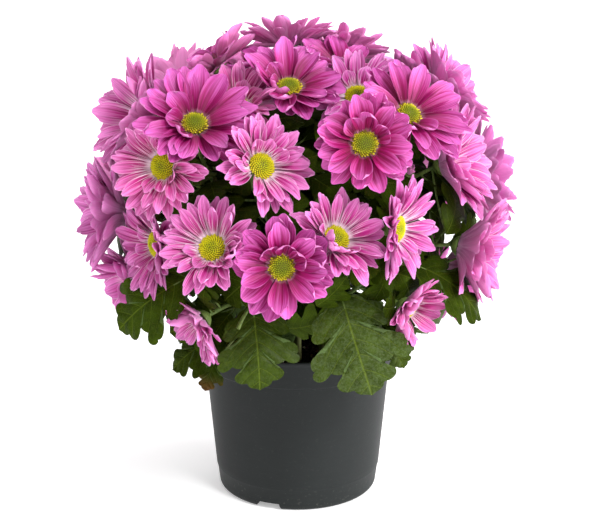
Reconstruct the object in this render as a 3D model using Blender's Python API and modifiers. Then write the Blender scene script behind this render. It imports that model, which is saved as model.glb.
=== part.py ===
"""Pot chrysanthemum in bloom, in metres, +Z up, its origin under the middle of the pot's foot.

A moulded nursery pot holds peat. Six leafy stems stand in holes in the peat and branch
into a round crown. Every branch ends in a green calyx that carries one daisy bloom: two rings
of petals about a domed yellow disc. Azimuth 0 is the front (-Y) and 90 is the right (+X).
"""

import math
import random
from itertools import product
from typing import NamedTuple

import bmesh
import bpy
from mathutils import Matrix, Vector
from mathutils.bvhtree import BVHTree

MM = 0.001

WELD = 1e-6

# Pot
POT_HEIGHT = 106 * MM
RIM_RADIUS = 65 * MM
RIM_THICKNESS = 2.2 * MM
RIM_ROUNDING = 1.2 * MM
BAND_RADIUS = 63.6 * MM
BAND_HEIGHT = 18 * MM
BAND_FOOT = POT_HEIGHT - BAND_HEIGHT
BAND_UNDERCUT = 0.8 * MM
WALL_TOP_RADIUS = 61.2 * MM
WALL_FOOT_RADIUS = 53.2 * MM
CORNER_RADIUS = 4 * MM
FOOT_STEP_HEIGHT = 15 * MM
FOOT_STEP = 0.5 * MM
POT_WALL = 1.6 * MM
FLOOR_RECESS = 5 * MM
FLOOR_TOP = FLOOR_RECESS + POT_WALL
INNER_CORNER = 2 * MM
FOOT_RING_WIDTH = 6 * MM
FOOT_RING_DRAFT = 1 * MM
POT_SIDES = 32
NOTCH_WIDTH = 20 * MM
NOTCH_TOP_SHARE = 0.8
NOTCH_HEIGHT = 4.6 * MM
NOTCH_DEPTH = 22 * MM
NOTCH_AZIMUTHS = (-22, 98, 218)
DRAIN_RADIUS = 4 * MM
DRAIN_CIRCLE = 26 * MM
DRAIN_TURN = 60
DRAIN_CUT = 20 * MM
DRAIN_SIDES = 8

# Peat
SOIL_TOP = 91 * MM
SOIL_SHOULDER = BAND_FOOT - 4 * MM
SOIL_GAP = 0.3 * MM
SOIL_INSET = POT_WALL + FOOT_STEP + SOIL_GAP
SOIL_CORNER = 5 * MM
SOIL_BUMP = 1.6 * MM
SOIL_WAVES_X = 190
SOIL_WAVES_Y = 230
SOIL_SAG = 1.5 * MM
SOIL_RINGS = 3
SOIL_SIDES = 16
STEM_HOLE_DEPTH = 34 * MM
STEM_HOLE_RADIUS = 3.4 * MM
STEM_HOLE_SIDES = 6

# Blooms
CROWN_HEART = Vector((0, 0, 185 * MM))
DISC_RADIUS = 7.6 * MM
DISC_HEIGHT = 3.6 * MM
DISC_RELIEF = 0.35 * MM
DISC_CUT = 0.2
DISC_SPOKES = 5
DISC_TWIST = 9
FUSED_DISC_SHOULDER = (0.68, 0.8)
INNER_VALLEY_RADIUS = 7.8 * MM
OUTER_VALLEY_RADIUS = 8.4 * MM
HUB_DEPTH = 2.3 * MM
PETAL_THICKNESS = 0.9 * MM
PETAL_CREASE_AT = 0.58
PETAL_TIP_CUP = 0.3
# Where a petal's edge bends: share of its length, and share of its half width.
NEAR_EDGE = ((0.58, 1.0), (0.87, 0.72))
FAR_EDGE = ((0.76, 1.0),)
INNER_LENGTH = 0.92
LENGTH_SPREAD = (0.93, 1.03)
AZIMUTH_SPREAD = math.radians(3)
RISE_SPREAD = 4
SEAT_GAP = 0.3 * MM
CLEARANCE = 0.5 * MM
# Other blooms' petals keep this much further from a bloom's middle, so that its own have room.
MIDDLE_ROOM = 3 * MM
KEEP_OUT_SIDES = 10

# How a petal may be bent, shortened and turned, in degrees and shares, and what each costs.
PETAL_BENDS = range(-72, 80, 8)
PETAL_SHARES = (1.0, 0.92, 0.84, 0.74, 0.62, 0.5, 0.4, 0.3)
PETAL_TURNS = (0, 5, -5, 10, -10)
BEND_COST = 0.1
SHORT_COST = 14
TURN_COST = 0.4
ROOT_BEND = 0.4

# Stems and their branches
STEM_AZIMUTHS = (0, 60, 120, 180, 240, 300)
STEM_RADIUS = 2.5 * MM
STEM_FOOT = SOIL_TOP - STEM_HOLE_DEPTH + 2 * MM
STEM_STATIONS = (
    (17 * MM, STEM_FOOT),
    (18 * MM, SOIL_TOP),
    (23 * MM, 125 * MM),
    (32 * MM, 165 * MM),
    (40 * MM, 205 * MM),
)
BRANCH_RADIUS = 1.3 * MM
BRANCH_TEST_RADIUS = 2.45 * MM
BRANCH_POINTS = 5
BRANCH_LOWEST = 118 * MM
BRANCH_HIGHEST = 200 * MM
BRANCH_SLOPE = 0.6
BRANCH_LIFT = 16 * MM
# Tried in turn, in millimetres: how much lower a branch starts, how far behind the bloom it
# bends, and how far it sways aside.
BRANCH_LOWER = (0, 18, 36, -14)
BRANCH_BACKS = (26, 14, 38, 8, 52)
BRANCH_SWAYS = (0, 8, -8, 16, -16, 26, -26)
CALYX_RADIUS = 6.4 * MM
CALYX_DEPTH = 5 * MM
CALYX_SIDES = 6
CALYX_SEAT = -HUB_DEPTH - SEAT_GAP
BRANCH_END = CALYX_SEAT - CALYX_DEPTH * 0.6

# Leaves. An outline gives half of a blade: share of its length, and share of its half width.
LEAF_OUTLINE = (
    (0.02, 0.07),
    (0.10, 0.60),
    (0.24, 0.80),
    (0.34, 0.34),
    (0.42, 0.92),
    (0.60, 1.00),
    (0.66, 0.42),
    (0.84, 0.50),
)
LEAF_RIB = (0.0, 0.3, 0.62)
# The rib point that each stretch of the outline fans out from; 1 is the blade's base.
LEAF_FAN = (0, 1, 2, 2, 2, 3, 3, 3, 3)
LEAF_THICKNESS = 1.0 * MM
LEAF_HALF_WIDTH = 0.46
LEAF_ARCH = 0.12
LEAF_EDGE_DROOP = 0.12
LEAVES_PER_STEM = 9
# Heights, stalks and blades of the rule's leaves, in millimetres, and their angles in degrees.
LEAF_LOW = 112
LEAF_HIGH = 205
LEAF_STALK = (22, 30)
LEAF_BLADE = (44, 56)
LEAF_SWING = 44
LEAF_SPIRAL = 2.4
LEAF_LIFT = (15, 30)
LEAF_LIFT_GAIN = 35
LEAF_DROOP = (-65, -40)
LEAF_DROOP_GAIN = 40
LEAF_TURNS = (0, 12, -12, 24, -24, 36, -36)
LEAF_LIFTS = (0, 8, -8, 16, -16, 26)
# Below this height, and this far to each side of the front, only the leaves chosen by hand grow.
FRONT_CLEAR_HEIGHT = 145
FRONT_CLEAR_AZIMUTH = 60


class Kind(NamedTuple):
    """One habit of bloom: its petals in each ring, their width, and the slopes of the rings.

    A petal's slope falls by flatten from root to tip, and its edges stand cup above its crease.
    """

    petals: int
    width: float
    inner_rise: float
    outer_rise: float
    flatten: float
    cup: float


FRESH = Kind(petals=7, width=12.6 * MM, inner_rise=30, outer_rise=14, flatten=14, cup=1.5 * MM)
OPEN = Kind(petals=8, width=9.4 * MM, inner_rise=38, outer_rise=26, flatten=12, cup=0.9 * MM)
CUPPED = Kind(petals=7, width=12.0 * MM, inner_rise=58, outer_rise=42, flatten=16, cup=1.2 * MM)


class Bloom(NamedTuple):
    """A bloom's place about the crown's heart, the way it faces, and its radius.

    Azimuth and elevation are in degrees, reach and radius in millimetres. A bloom with
    own_disc has its disc as a separate node; the others carry theirs in the same solid.
    """

    azimuth: float
    elevation: float
    reach: float
    face_azimuth: float
    face_elevation: float
    radius: float
    kind: Kind
    own_disc: bool


# The order is also the order of right of way: a later bloom's petals bend clear of earlier ones.
BLOOMS = (
    Bloom(20, 31, 131, 4, 20, 31, FRESH, True),
    Bloom(-4, 0, 125, 0, 12, 31, FRESH, True),
    Bloom(-35, 36, 128, 8, 48, 39, FRESH, True),
    Bloom(-11, 27, 120, 30, 26, 32, OPEN, True),
    Bloom(-23, 4, 125, -14, 30, 32, OPEN, True),
    Bloom(11, 7, 118, 30, 34, 32, OPEN, True),
    Bloom(-39, 23, 134, -28, 12, 34, OPEN, True),
    Bloom(43, 39, 124, 32, 44, 41, FRESH, True),
    Bloom(30, 8, 117, 58, 0, 35, OPEN, True),
    Bloom(38, -19, 114, 52, -22, 31, OPEN, True),
    Bloom(-33, -22, 116, -60, -28, 31, OPEN, True),
    Bloom(-46, 1, 117, -58, 2, 35, OPEN, False),
    Bloom(-31, 49, 108, 2, 60, 34, OPEN, True),
    Bloom(-5, 59, 107, 4, 60, 37, FRESH, True),
    Bloom(34, 53, 108, 0, 52, 34, OPEN, False),
    Bloom(63, 23, 110, 72, 16, 40, CUPPED, False),
    Bloom(67, -5, 112, 72, -10, 40, CUPPED, False),
    Bloom(-67, 36, 122, -70, 26, 40, CUPPED, False),
    Bloom(-72, 5, 116, -74, 4, 40, CUPPED, False),
    Bloom(-70, -17, 110, -64, -18, 36, CUPPED, False),
    Bloom(-170, 76, 110, -170, 72, 37, OPEN, False),
    Bloom(-82, 79, 99, -86, 76, 31, FRESH, False),
    Bloom(84, 73, 99, 60, 68, 35, FRESH, False),
    Bloom(-100, 61, 109, -96, 54, 37, FRESH, False),
    Bloom(86, 41, 118, 84, 36, 38, CUPPED, False),
    Bloom(94, -21, 106, 94, -22, 35, CUPPED, False),
    Bloom(103, 9, 116, 98, 6, 40, CUPPED, False),
    Bloom(139, 4, 120, 139, 6, 38, CUPPED, False),
    Bloom(174, 2, 120, 174, 4, 38, CUPPED, False),
    Bloom(-150, 6, 119, -149, 6, 38, CUPPED, False),
    Bloom(-111, 4, 117, -110, 4, 39, CUPPED, False),
    Bloom(121, 37, 118, 121, 36, 38, FRESH, False),
    Bloom(158, 36, 120, 157, 36, 38, CUPPED, False),
    Bloom(-162, 37, 120, -163, 36, 38, FRESH, False),
    Bloom(-125, 35, 118, -124, 36, 38, CUPPED, False),
    Bloom(148, 63, 110, 148, 60, 37, OPEN, False),
    Bloom(128, -25, 110, 126, -26, 33, FRESH, False),
    Bloom(-132, -25, 110, -130, -26, 33, OPEN, False),
    Bloom(-178, -24, 110, -178, -26, 33, FRESH, False),
)


class Leaf(NamedTuple):
    """A leaf of one stem, in millimetres: the height where it leaves the shoot, where its blade
    begins and ends, and which way its upper face looks."""

    stem: int
    height: float
    base: Vector
    tip: Vector
    facing: Vector


# The leaves that hang where the crown opens, chosen by hand.
FRONT_LEAVES = (
    Leaf(5, 132, Vector((-27, -84, 150)), Vector((-20, -106, 104)), Vector((0.05, -0.9, 0.45))),
    Leaf(0, 136, Vector((26, -84, 157)), Vector((44, -108, 101)), Vector((-0.1, -0.9, 0.4))),
    Leaf(5, 142, Vector((-66, -88, 168)), Vector((-106, -90, 134)), Vector((-0.3, -0.7, 0.6))),
    Leaf(5, 112, Vector((-42, -62, 124)), Vector((-78, -66, 103)), Vector((-0.3, -0.5, 0.8))),
    Leaf(1, 144, Vector((70, -64, 170)), Vector((114, -64, 136)), Vector((0.2, -0.4, 0.9))),
)


def direction(azimuth, elevation):
    """The unit vector at an azimuth from the front and an elevation above level."""
    turn, lift = math.radians(azimuth), math.radians(elevation)
    return Vector((math.sin(turn) * math.cos(lift), -math.cos(turn) * math.cos(lift), math.sin(lift)))


def material(name, colour, roughness):
    """A plain material in the piece's own colour."""
    made = bpy.data.materials.new(name)
    made.use_nodes = True
    shader = made.node_tree.nodes["Principled BSDF"]
    shader.inputs["Base Color"].default_value = (*colour, 1)
    shader.inputs["Roughness"].default_value = roughness
    shader.inputs["Metallic"].default_value = 0
    return made


def add_object(name, mesh, collection, *finishes):
    """Links a mesh as an object with its materials."""
    piece = bpy.data.objects.new(name, mesh)
    for finish in finishes:
        mesh.materials.append(finish)
    collection.objects.link(piece)
    return piece


def evaluated_copy(piece):
    """The piece's mesh with its modifiers or bevel applied and its caps welded."""
    bpy.context.view_layer.update()
    graph = bpy.context.evaluated_depsgraph_get()
    mesh = bpy.data.meshes.new_from_object(piece.evaluated_get(graph))
    form = bmesh.new()
    form.from_mesh(mesh)
    bmesh.ops.remove_doubles(form, verts=form.verts, dist=WELD)
    form.to_mesh(mesh)
    form.free()
    return mesh


def boolean(piece, operation, solver, target=None, collection=None):
    """Adds a Boolean modifier that works on one object or on a collection."""
    modifier = piece.modifiers.new(operation.title(), "BOOLEAN")
    modifier.operation = operation
    modifier.solver = solver
    if collection:
        modifier.operand_type = "COLLECTION"
        modifier.collection = collection
    else:
        modifier.object = target


class Obstacles:
    """Everything already placed, so that what comes later can be bent clear of it."""

    def __init__(self):
        self.trees = []

    def add(self, points, faces, owner=""):
        """Adds a solid given by its points and faces, and the name of what it belongs to."""
        self.trees.append((owner, BVHTree.FromPolygons(points, faces)))

    def meets(self, points, faces, apart_from=()):
        """True if the shape cuts through anything that is already there, apart from some owners'."""
        shape = BVHTree.FromPolygons(points, faces)
        return any(owner not in apart_from and shape.overlap(tree) for owner, tree in self.trees)


def arc(start, slope, end_slope, length, share):
    """A point that share of the way along a curve in the (out, up) plane whose slope turns evenly."""
    begin, end = math.radians(slope), math.radians(end_slope)
    turn = end - begin
    if abs(turn) < WELD:
        out, up = math.cos(begin) * share, math.sin(begin) * share
    else:
        there = begin + turn * share
        out = (math.sin(there) - math.sin(begin)) / turn
        up = (math.cos(begin) - math.cos(there)) / turn
    return start[0] + length * out, start[1] + length * up


class PetalShape(NamedTuple):
    """One petal as it was bent: its azimuth in radians, slopes in degrees and length."""

    azimuth: float
    rise: float
    end_rise: float
    length: float


class BloomSolid:
    """The geometry of one bloom in its own frame, with +Z out of its face."""

    def __init__(self, number, bloom):
        self.name = f"bloom_{number:02d}"
        self.calyx_name = f"calyx_{number:02d}"
        self.number = number
        self.bloom = bloom
        self.kind = bloom.kind
        self.draw = random.Random(number)
        self.normal = direction(bloom.face_azimuth, bloom.face_elevation)
        self.centre = CROWN_HEART + direction(bloom.azimuth, bloom.elevation) * bloom.reach * MM
        side = Vector((0, 0, 1)).cross(self.normal).normalized()
        turned = Matrix((side, self.normal.cross(side), self.normal)).transposed()
        self.place = Matrix.Translation(self.centre) @ turned.to_4x4()
        self.petals = {}

    def ring_angle(self, ring, index):
        """The azimuth of a petal in its ring; the outer ring stands half a petal on."""
        half = 0.5 if ring == "outer" else 0.0
        return 2 * math.pi * (index + half) / self.kind.petals

    def petal_points(self, ring, shape, swell=0.0):
        """A petal's outline from its right root round the tip to its left, and its crease above and below."""
        root = (INNER_VALLEY_RADIUS, 0.0) if ring == "inner" else (OUTER_VALLEY_RADIUS, -HUB_DEPTH / 2)
        half = self.kind.width / 2 + swell
        slopes = (shape.rise, shape.end_rise, shape.length + swell)
        out_axis = Vector((math.cos(shape.azimuth), math.sin(shape.azimuth), 0))
        side_axis = Vector((-out_axis.y, out_axis.x, 0))

        def at(share, side, lift):
            out, up = arc(root, *slopes, share)
            return out_axis * out + side_axis * side + Vector((0, 0, up + lift))

        cup = self.kind.cup
        edge = NEAR_EDGE if self.bloom.own_disc else FAR_EDGE
        right = [at(share, -width * half, cup) for share, width in edge]
        left = [at(share, width * half, cup) for share, width in reversed(edge)]
        above = at(PETAL_CREASE_AT, 0, swell)
        below = at(PETAL_CREASE_AT, 0, -PETAL_THICKNESS - swell)
        return [*right, at(1.0, 0, cup * PETAL_TIP_CUP), *left], above, below

    def trial(self, ring, index, shape):
        """The petal alone, a little swollen, in world space, to test what it meets."""
        outline, above, below = self.petal_points(ring, shape, CLEARANCE)
        step = math.pi / self.kind.petals
        angle = self.ring_angle(ring, index)
        lift = Vector((0, 0, 0.0 if ring == "inner" else -HUB_DEPTH))
        right, left = (
            Vector((math.cos(angle + side), math.sin(angle + side), 0)) * OUTER_VALLEY_RADIUS + lift
            for side in (-step, step)
        )
        points = [right, *outline, left, above, below]
        last = len(outline) + 1
        faces = [(i, i + 1, crease) for crease in (last + 1, last + 2) for i in range(last)]
        if ring == "outer":
            points.append(Vector((0, 0, -HUB_DEPTH)))
            faces += [(0, last + 3, last + 2), (last, last + 3, last + 2)]
        return [self.place @ point for point in points], faces

    def keep_out(self, radius, foot, top):
        """A cylinder about the bloom's axis, in world space, that other pieces keep out of."""
        form = bmesh.new()
        bmesh.ops.create_cone(
            form, cap_ends=True, segments=KEEP_OUT_SIDES, radius1=radius, radius2=radius, depth=top - foot
        )
        middle = Matrix.Translation((0, 0, (top + foot) / 2))
        bmesh.ops.transform(form, matrix=self.place @ middle, verts=form.verts)
        points = [vert.co.copy() for vert in form.verts]
        faces = [[vert.index for vert in face.verts] for face in form.faces]
        form.free()
        return points, faces

    def claim_middle(self, obstacles):
        """Keeps the room of the bloom's disc and calyx, before any petal is bent."""
        top = DISC_HEIGHT + DISC_RELIEF + CLEARANCE
        foot = CALYX_SEAT - CALYX_DEPTH - CLEARANCE
        middle = self.keep_out(OUTER_VALLEY_RADIUS + MIDDLE_ROOM, CALYX_SEAT, top)
        obstacles.add(*middle, self.name)
        obstacles.add(*self.keep_out(CALYX_RADIUS + CLEARANCE, foot, CALYX_SEAT), self.calyx_name)

    def bend_clear(self, obstacles):
        """Chooses each petal's rise and length, so that it clears what is already placed."""
        kind = self.kind
        full = self.bloom.radius * MM - OUTER_VALLEY_RADIUS
        tries = sorted(
            (abs(bend) * BEND_COST + (1 - share) * SHORT_COST + abs(turn) * TURN_COST, bend, share, turn)
            for bend in PETAL_BENDS
            for share in PETAL_SHARES
            for turn in PETAL_TURNS
        )
        for ring in ("inner", "outer"):
            rise, size = (kind.inner_rise, INNER_LENGTH) if ring == "inner" else (kind.outer_rise, 1.0)
            for index in range(kind.petals):
                azimuth = self.ring_angle(ring, index) + self.draw.uniform(-AZIMUTH_SPREAD, AZIMUTH_SPREAD)
                length = full * self.draw.uniform(*LENGTH_SPREAD) * size
                own_rise = rise + self.draw.uniform(-RISE_SPREAD, RISE_SPREAD)
                for _, bend, share, turn in tries:
                    shape = PetalShape(
                        azimuth + math.radians(turn),
                        own_rise + bend * ROOT_BEND,
                        own_rise - kind.flatten + bend,
                        length * share,
                    )
                    if not obstacles.meets(*self.trial(ring, index, shape), (self.name,)):
                        break
                self.petals[ring, index] = shape

    def solid(self):
        """Points and faces of the two rings of petals as one closed skin, and where the disc's faces start."""
        count = self.kind.petals
        points, faces = [], []

        def add(point):
            points.append(point)
            return len(points) - 1

        def around(radius, share, up):
            angle = 2 * math.pi * share / count
            return add(Vector((radius * math.cos(angle), radius * math.sin(angle), up)))

        inner_valleys = [around(INNER_VALLEY_RADIUS, k + 0.5, 0) for k in range(count)]
        inner_roots = [around(INNER_VALLEY_RADIUS, k, 0) for k in range(count)]
        outer_valleys = [around(OUTER_VALLEY_RADIUS, k, -HUB_DEPTH) for k in range(count)]
        under = add(Vector((0, 0, -HUB_DEPTH)))

        def blade(ring, index, right, left, top_root, under_root):
            outline, above, below = self.petal_points(ring, self.petals[ring, index])
            outline = [right, *(add(point) for point in outline), left]
            above, below = add(above), add(below)
            for loop, crease in (([top_root, *outline], above), ([under_root, *outline[::-1]], below)):
                faces.extend((a, b, crease) for a, b in zip(loop, loop[1:] + loop[:1]))

        for k in range(count):
            blade("inner", k, inner_valleys[k - 1], inner_valleys[k], inner_roots[k], outer_valleys[k])
        for k in range(count):
            right, left = outer_valleys[k], outer_valleys[(k + 1) % count]
            blade("outer", k, right, left, inner_valleys[k], under)

        disc_start = len(faces)
        rim = [v for k in range(count) for v in (inner_roots[k], inner_valleys[k])]
        if not self.bloom.own_disc:
            inward, upward = FUSED_DISC_SHOULDER
            dome = [
                around(DISC_RADIUS * inward, j / 2, DISC_HEIGHT * upward + DISC_RELIEF * (-1) ** j)
                for j in range(2 * count)
            ]
            faces.extend((a, b, c) for a, b, c in zip(rim, rim[1:] + rim[:1], dome))
            faces.extend((b, c2, c) for b, c, c2 in zip(rim[1:] + rim[:1], dome, dome[1:] + dome[:1]))
            rim = dome
        top = add(Vector((0, 0, 0 if self.bloom.own_disc else DISC_HEIGHT)))
        faces.extend((a, b, top) for a, b in zip(rim, rim[1:] + rim[:1]))
        return points, faces, disc_start


def mesh_from(name, points, faces):
    """A mesh of these points and faces."""
    mesh = bpy.data.meshes.new(name)
    mesh.from_pydata([tuple(point) for point in points], [], faces)
    mesh.update()
    return mesh


def build_bloom(made, obstacles, collection, finishes):
    """Adds one bloom, and its disc where that is a node of its own."""
    bloom = made.bloom
    made.bend_clear(obstacles)
    points, faces, disc_start = made.solid()
    name = f"petals_{made.number:02d}" if bloom.own_disc else made.name
    mesh = mesh_from(name, points, faces)
    piece = add_object(name, mesh, collection, finishes["petal"], finishes["disc"])
    piece.matrix_world = made.place
    if not bloom.own_disc:
        for face in mesh.polygons[disc_start:]:
            face.material_index = 1
    obstacles.add([made.place @ point for point in points], faces)
    if bloom.own_disc:
        build_disc(f"disc_{made.number:02d}", made.place, collection, finishes["disc"])


def build_disc(name, place, collection, finish):
    """A low dome of florets, raised and sunk by turns, that sits on the petals' hub."""
    form = bmesh.new()
    bmesh.ops.create_icosphere(form, subdivisions=2, radius=DISC_RADIUS)
    floor = DISC_RADIUS * DISC_CUT
    whole = form.verts[:] + form.edges[:] + form.faces[:]
    cut = bmesh.ops.bisect_plane(form, geom=whole, plane_co=(0, 0, floor), plane_no=(0, 0, 1), clear_inner=True)
    rim = [edge for edge in cut["geom_cut"] if isinstance(edge, bmesh.types.BMEdge)]
    bmesh.ops.contextual_create(form, geom=rim)
    for vert in form.verts:
        share = (vert.co.z - floor) / (DISC_RADIUS - floor)
        azimuth = math.atan2(vert.co.y, vert.co.x)
        floret = DISC_RELIEF * math.cos(DISC_SPOKES * azimuth + DISC_TWIST * share)
        vert.co.z = SEAT_GAP + share * DISC_HEIGHT + (floret if share > WELD else 0)
    bmesh.ops.triangulate(form, faces=form.faces)
    mesh = bpy.data.meshes.new(name)
    form.to_mesh(mesh)
    form.free()
    piece = add_object(name, mesh, collection, finish)
    piece.matrix_world = place


def bezier(a, b, c, d, count):
    """Points along a cubic curve from a to d."""
    shares = [i / (count - 1) for i in range(count)]
    return [
        a * (1 - t) ** 3 + b * 3 * t * (1 - t) ** 2 + c * 3 * t * t * (1 - t) + d * t**3 for t in shares
    ]


def trial_tube(path, radius):
    """A plain four-sided tube along a path, to test what a branch meets."""
    points, faces = [], []
    for here, after in zip(path, path[1:] + [path[-1] * 2 - path[-2]]):
        along = (after - here).normalized()
        side = along.orthogonal().normalized() * radius
        points += [here + Matrix.Rotation(turn * math.pi / 2, 3, along) @ side for turn in range(4)]
    for ring in range(len(path) - 1):
        for turn in range(4):
            a, b = ring * 4 + turn, ring * 4 + (turn + 1) % 4
            faces.append((a, b, b + 4, a + 4))
    return points, faces


def tube_object(name, path, radius, resolution, collection, finish):
    """A stem or branch: a curve with a round bevel, made a mesh with its caps welded."""
    curve = bpy.data.curves.new(name, "CURVE")
    curve.dimensions = "3D"
    curve.bevel_depth = radius
    curve.bevel_resolution = resolution
    curve.use_fill_caps = True
    spline = curve.splines.new("POLY")
    spline.points.add(len(path) - 1)
    for slot, point in zip(spline.points, path):
        slot.co = (*point, 1)
    guide = bpy.data.objects.new(name + "_line", curve)
    collection.objects.link(guide)
    mesh = evaluated_copy(guide)
    bpy.data.objects.remove(guide)
    return add_object(name, mesh, collection, finish)


class LeafSolid:
    """A lobed, arched blade on a flat stalk from root to base, as one closed thin skin."""

    def __init__(self, root, base, tip, facing):
        self.root, self.base, self.tip = root, base, tip
        along = tip - base
        self.length = along.length
        self.side = facing.cross(along).normalized()
        self.normal = along.cross(self.side).normalized()
        self.half_width = self.length * LEAF_HALF_WIDTH

    def at(self, share, side=0.0, lift=0.0):
        """A point of the blade: share of its length, distance aside and above."""
        arch = LEAF_ARCH * self.length * 4 * share * (1 - share)
        return self.base.lerp(self.tip, share) + self.side * side + self.normal * (arch + lift)

    def solid(self, swell=0.0):
        """Points and faces. Upper and lower skins share the outline and meet in a thin edge."""
        thick = LEAF_THICKNESS / 2 + swell
        stalk_half = self.side * (LEAF_THICKNESS + swell)
        points = [self.root - stalk_half, self.root + stalk_half]
        points += [self.root + self.normal * thick, self.root - self.normal * thick]
        right, left, above, below = [0], [1], [2], [3]
        for share, width in LEAF_OUTLINE:
            for line, sign in ((right, -1), (left, 1)):
                half = self.half_width * width + swell
                line.append(len(points))
                points.append(self.at(share, sign * half, -LEAF_EDGE_DROOP * half))
        for share in LEAF_RIB:
            for line, lift in ((above, thick), (below, -thick)):
                line.append(len(points))
                points.append(self.at(share, 0, lift))
        tip = len(points)
        points.append(self.at(1 + swell / self.length))
        faces = [(0, 2, 3), (1, 3, 2)]
        for rib, under in ((above, False), (below, True)):
            for line, mirrored in ((right, False), (left, True)):
                strip = self.fan([*line, tip], rib)
                faces += [face if under == mirrored else face[::-1] for face in strip]
        return points, faces

    def blade(self, swell):
        """The solid without the faces at the stalk's foot."""
        points, faces = self.solid(swell)
        return points, [face for face in faces if min(face) > 3]

    @staticmethod
    def fan(edge, rib):
        """Triangles between one side's outline and the rib points that it fans out from."""
        faces = []
        at_rib = 0
        for here, after, rib_point in zip(edge, edge[1:], LEAF_FAN):
            while at_rib < rib_point:
                faces.append((here, rib[at_rib + 1], rib[at_rib]))
                at_rib += 1
            faces.append((here, after, rib[at_rib]))
        return faces


class Stem:
    """One leafy stem: a main shoot, a branch and calyx for each bloom, and its leaves."""

    def __init__(self, number, azimuth):
        self.number = number
        self.azimuth = azimuth
        self.name = f"stem_{number + 1}"
        out = direction(azimuth, 0)
        self.line = [out * radius + Vector((0, 0, height)) for radius, height in STEM_STATIONS]
        self.own = Obstacles()
        self.solids = []

    def at_height(self, height):
        """The point of the main shoot at a height."""
        for low, high in zip(self.line, self.line[1:]):
            if height <= high.z:
                return low.lerp(high, max(0.0, (height - low.z) / (high.z - low.z)))
        return self.line[-1]

    def is_nearest(self, azimuth):
        """True if this shoot is the nearest one to the azimuth."""
        half = 180 / len(STEM_AZIMUTHS)
        return -half <= (azimuth - self.azimuth + 180) % 360 - 180 < half

    def hold(self, name, points, faces):
        """Keeps one of the stem's own solids."""
        self.solids.append((name, points, faces))
        self.own.add(points, faces, name)

    def hold_front_leaves(self, obstacles):
        """Places the leaves chosen by hand, which every petal bends clear of."""
        for index, leaf in enumerate(leaf for leaf in FRONT_LEAVES if leaf.stem == self.number):
            root = self.at_height(leaf.height * MM)
            made = LeafSolid(root, leaf.base * MM, leaf.tip * MM, leaf.facing)
            points, faces = made.solid()
            self.hold(f"front_leaf_{index}", points, faces)
            obstacles.add(*made.solid(CLEARANCE), self.name)

    def branch_paths(self, bloom):
        """Ways from the shoot to the bloom's calyx, the plainest first."""
        seat = bloom.place @ Vector((0, 0, BRANCH_END))
        side = Vector((0, 0, 1)).cross(bloom.normal).normalized()
        up = bloom.normal.cross(side)
        plain = min(BRANCH_HIGHEST, max(BRANCH_LOWEST, seat.z * BRANCH_SLOPE + BRANCH_LIFT))
        for lower in BRANCH_LOWER:
            start = self.at_height(plain - lower * MM)
            for back, across, lift in product(BRANCH_BACKS, BRANCH_SWAYS, BRANCH_SWAYS):
                bend = seat + (side * across + up * lift - bloom.normal * back) * MM
                yield bezier(start, start.lerp(bend, 0.5), bend, seat, BRANCH_POINTS)

    def add_branch(self, bloom, obstacles):
        """A branch that keeps clear of petals and ends in the bloom's calyx."""
        apart_from = (bloom.name, bloom.calyx_name, self.name)
        for path in self.branch_paths(bloom):
            if not obstacles.meets(*trial_tube(path, BRANCH_TEST_RADIUS), apart_from):
                break
        form = bmesh.new()
        bmesh.ops.create_cone(
            form, cap_ends=True, cap_tris=False, segments=CALYX_SIDES,
            radius1=BRANCH_RADIUS, radius2=CALYX_RADIUS, depth=CALYX_DEPTH,
        )
        middle = Matrix.Translation((0, 0, CALYX_SEAT - CALYX_DEPTH / 2))
        bmesh.ops.transform(form, matrix=bloom.place @ middle, verts=form.verts)
        points = [vert.co.copy() for vert in form.verts]
        faces = [[vert.index for vert in face.verts] for face in form.faces]
        self.hold(bloom.calyx_name, points, faces)
        form.free()
        return path

    def add_leaf(self, leaf, obstacles):
        """A leaf from the shoot, at the first turn and lift about its foot that clears everything."""
        root = self.at_height(leaf.height * MM)
        reach = leaf.base * MM - root
        level = Vector((reach.y, -reach.x, 0))
        for turn, lift in product(LEAF_TURNS, LEAF_LIFTS):
            move = (
                Matrix.Translation(root)
                @ Matrix.Rotation(math.radians(turn), 4, "Z")
                @ Matrix.Rotation(math.radians(lift), 4, level)
                @ Matrix.Translation(-root)
            )
            facing = move.to_3x3() @ leaf.facing
            made = LeafSolid(root, move @ (leaf.base * MM), move @ (leaf.tip * MM), facing)
            if obstacles.meets(*made.solid(CLEARANCE), (self.name,)):
                continue
            if not self.own.meets(*made.blade(CLEARANCE)):
                self.hold(f"leaf_{len(self.solids)}", *made.solid())
                return

    def build(self, blooms, obstacles, collection, finish):
        """Unites the shoot with its branches, calyxes and leaves in one solid."""
        pieces = bpy.data.collections.new(f"{self.name}_pieces")
        bpy.context.scene.collection.children.link(pieces)
        for bloom in blooms:
            path = self.add_branch(bloom, obstacles)
            tube_object(f"branch_{bloom.number:02d}", path, BRANCH_RADIUS, 0, pieces, finish)
            self.own.add(*trial_tube(path, BRANCH_RADIUS))
            obstacles.add(*trial_tube(path, BRANCH_RADIUS), self.name)
        for leaf in rule_leaves(self):
            self.add_leaf(leaf, obstacles)
        for name, points, faces in self.solids:
            add_object(name, mesh_from(name, points, faces), pieces, finish)
            obstacles.add(points, faces, self.name)
        main = tube_object(self.name, self.line, STEM_RADIUS, 1, collection, finish)
        boolean(main, "UNION", "MANIFOLD", collection=pieces)
        mesh = evaluated_copy(main)
        main.modifiers.clear()
        main.data = mesh
        for piece in list(pieces.objects):
            bpy.data.objects.remove(piece)
        bpy.data.collections.remove(pieces)


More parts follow.
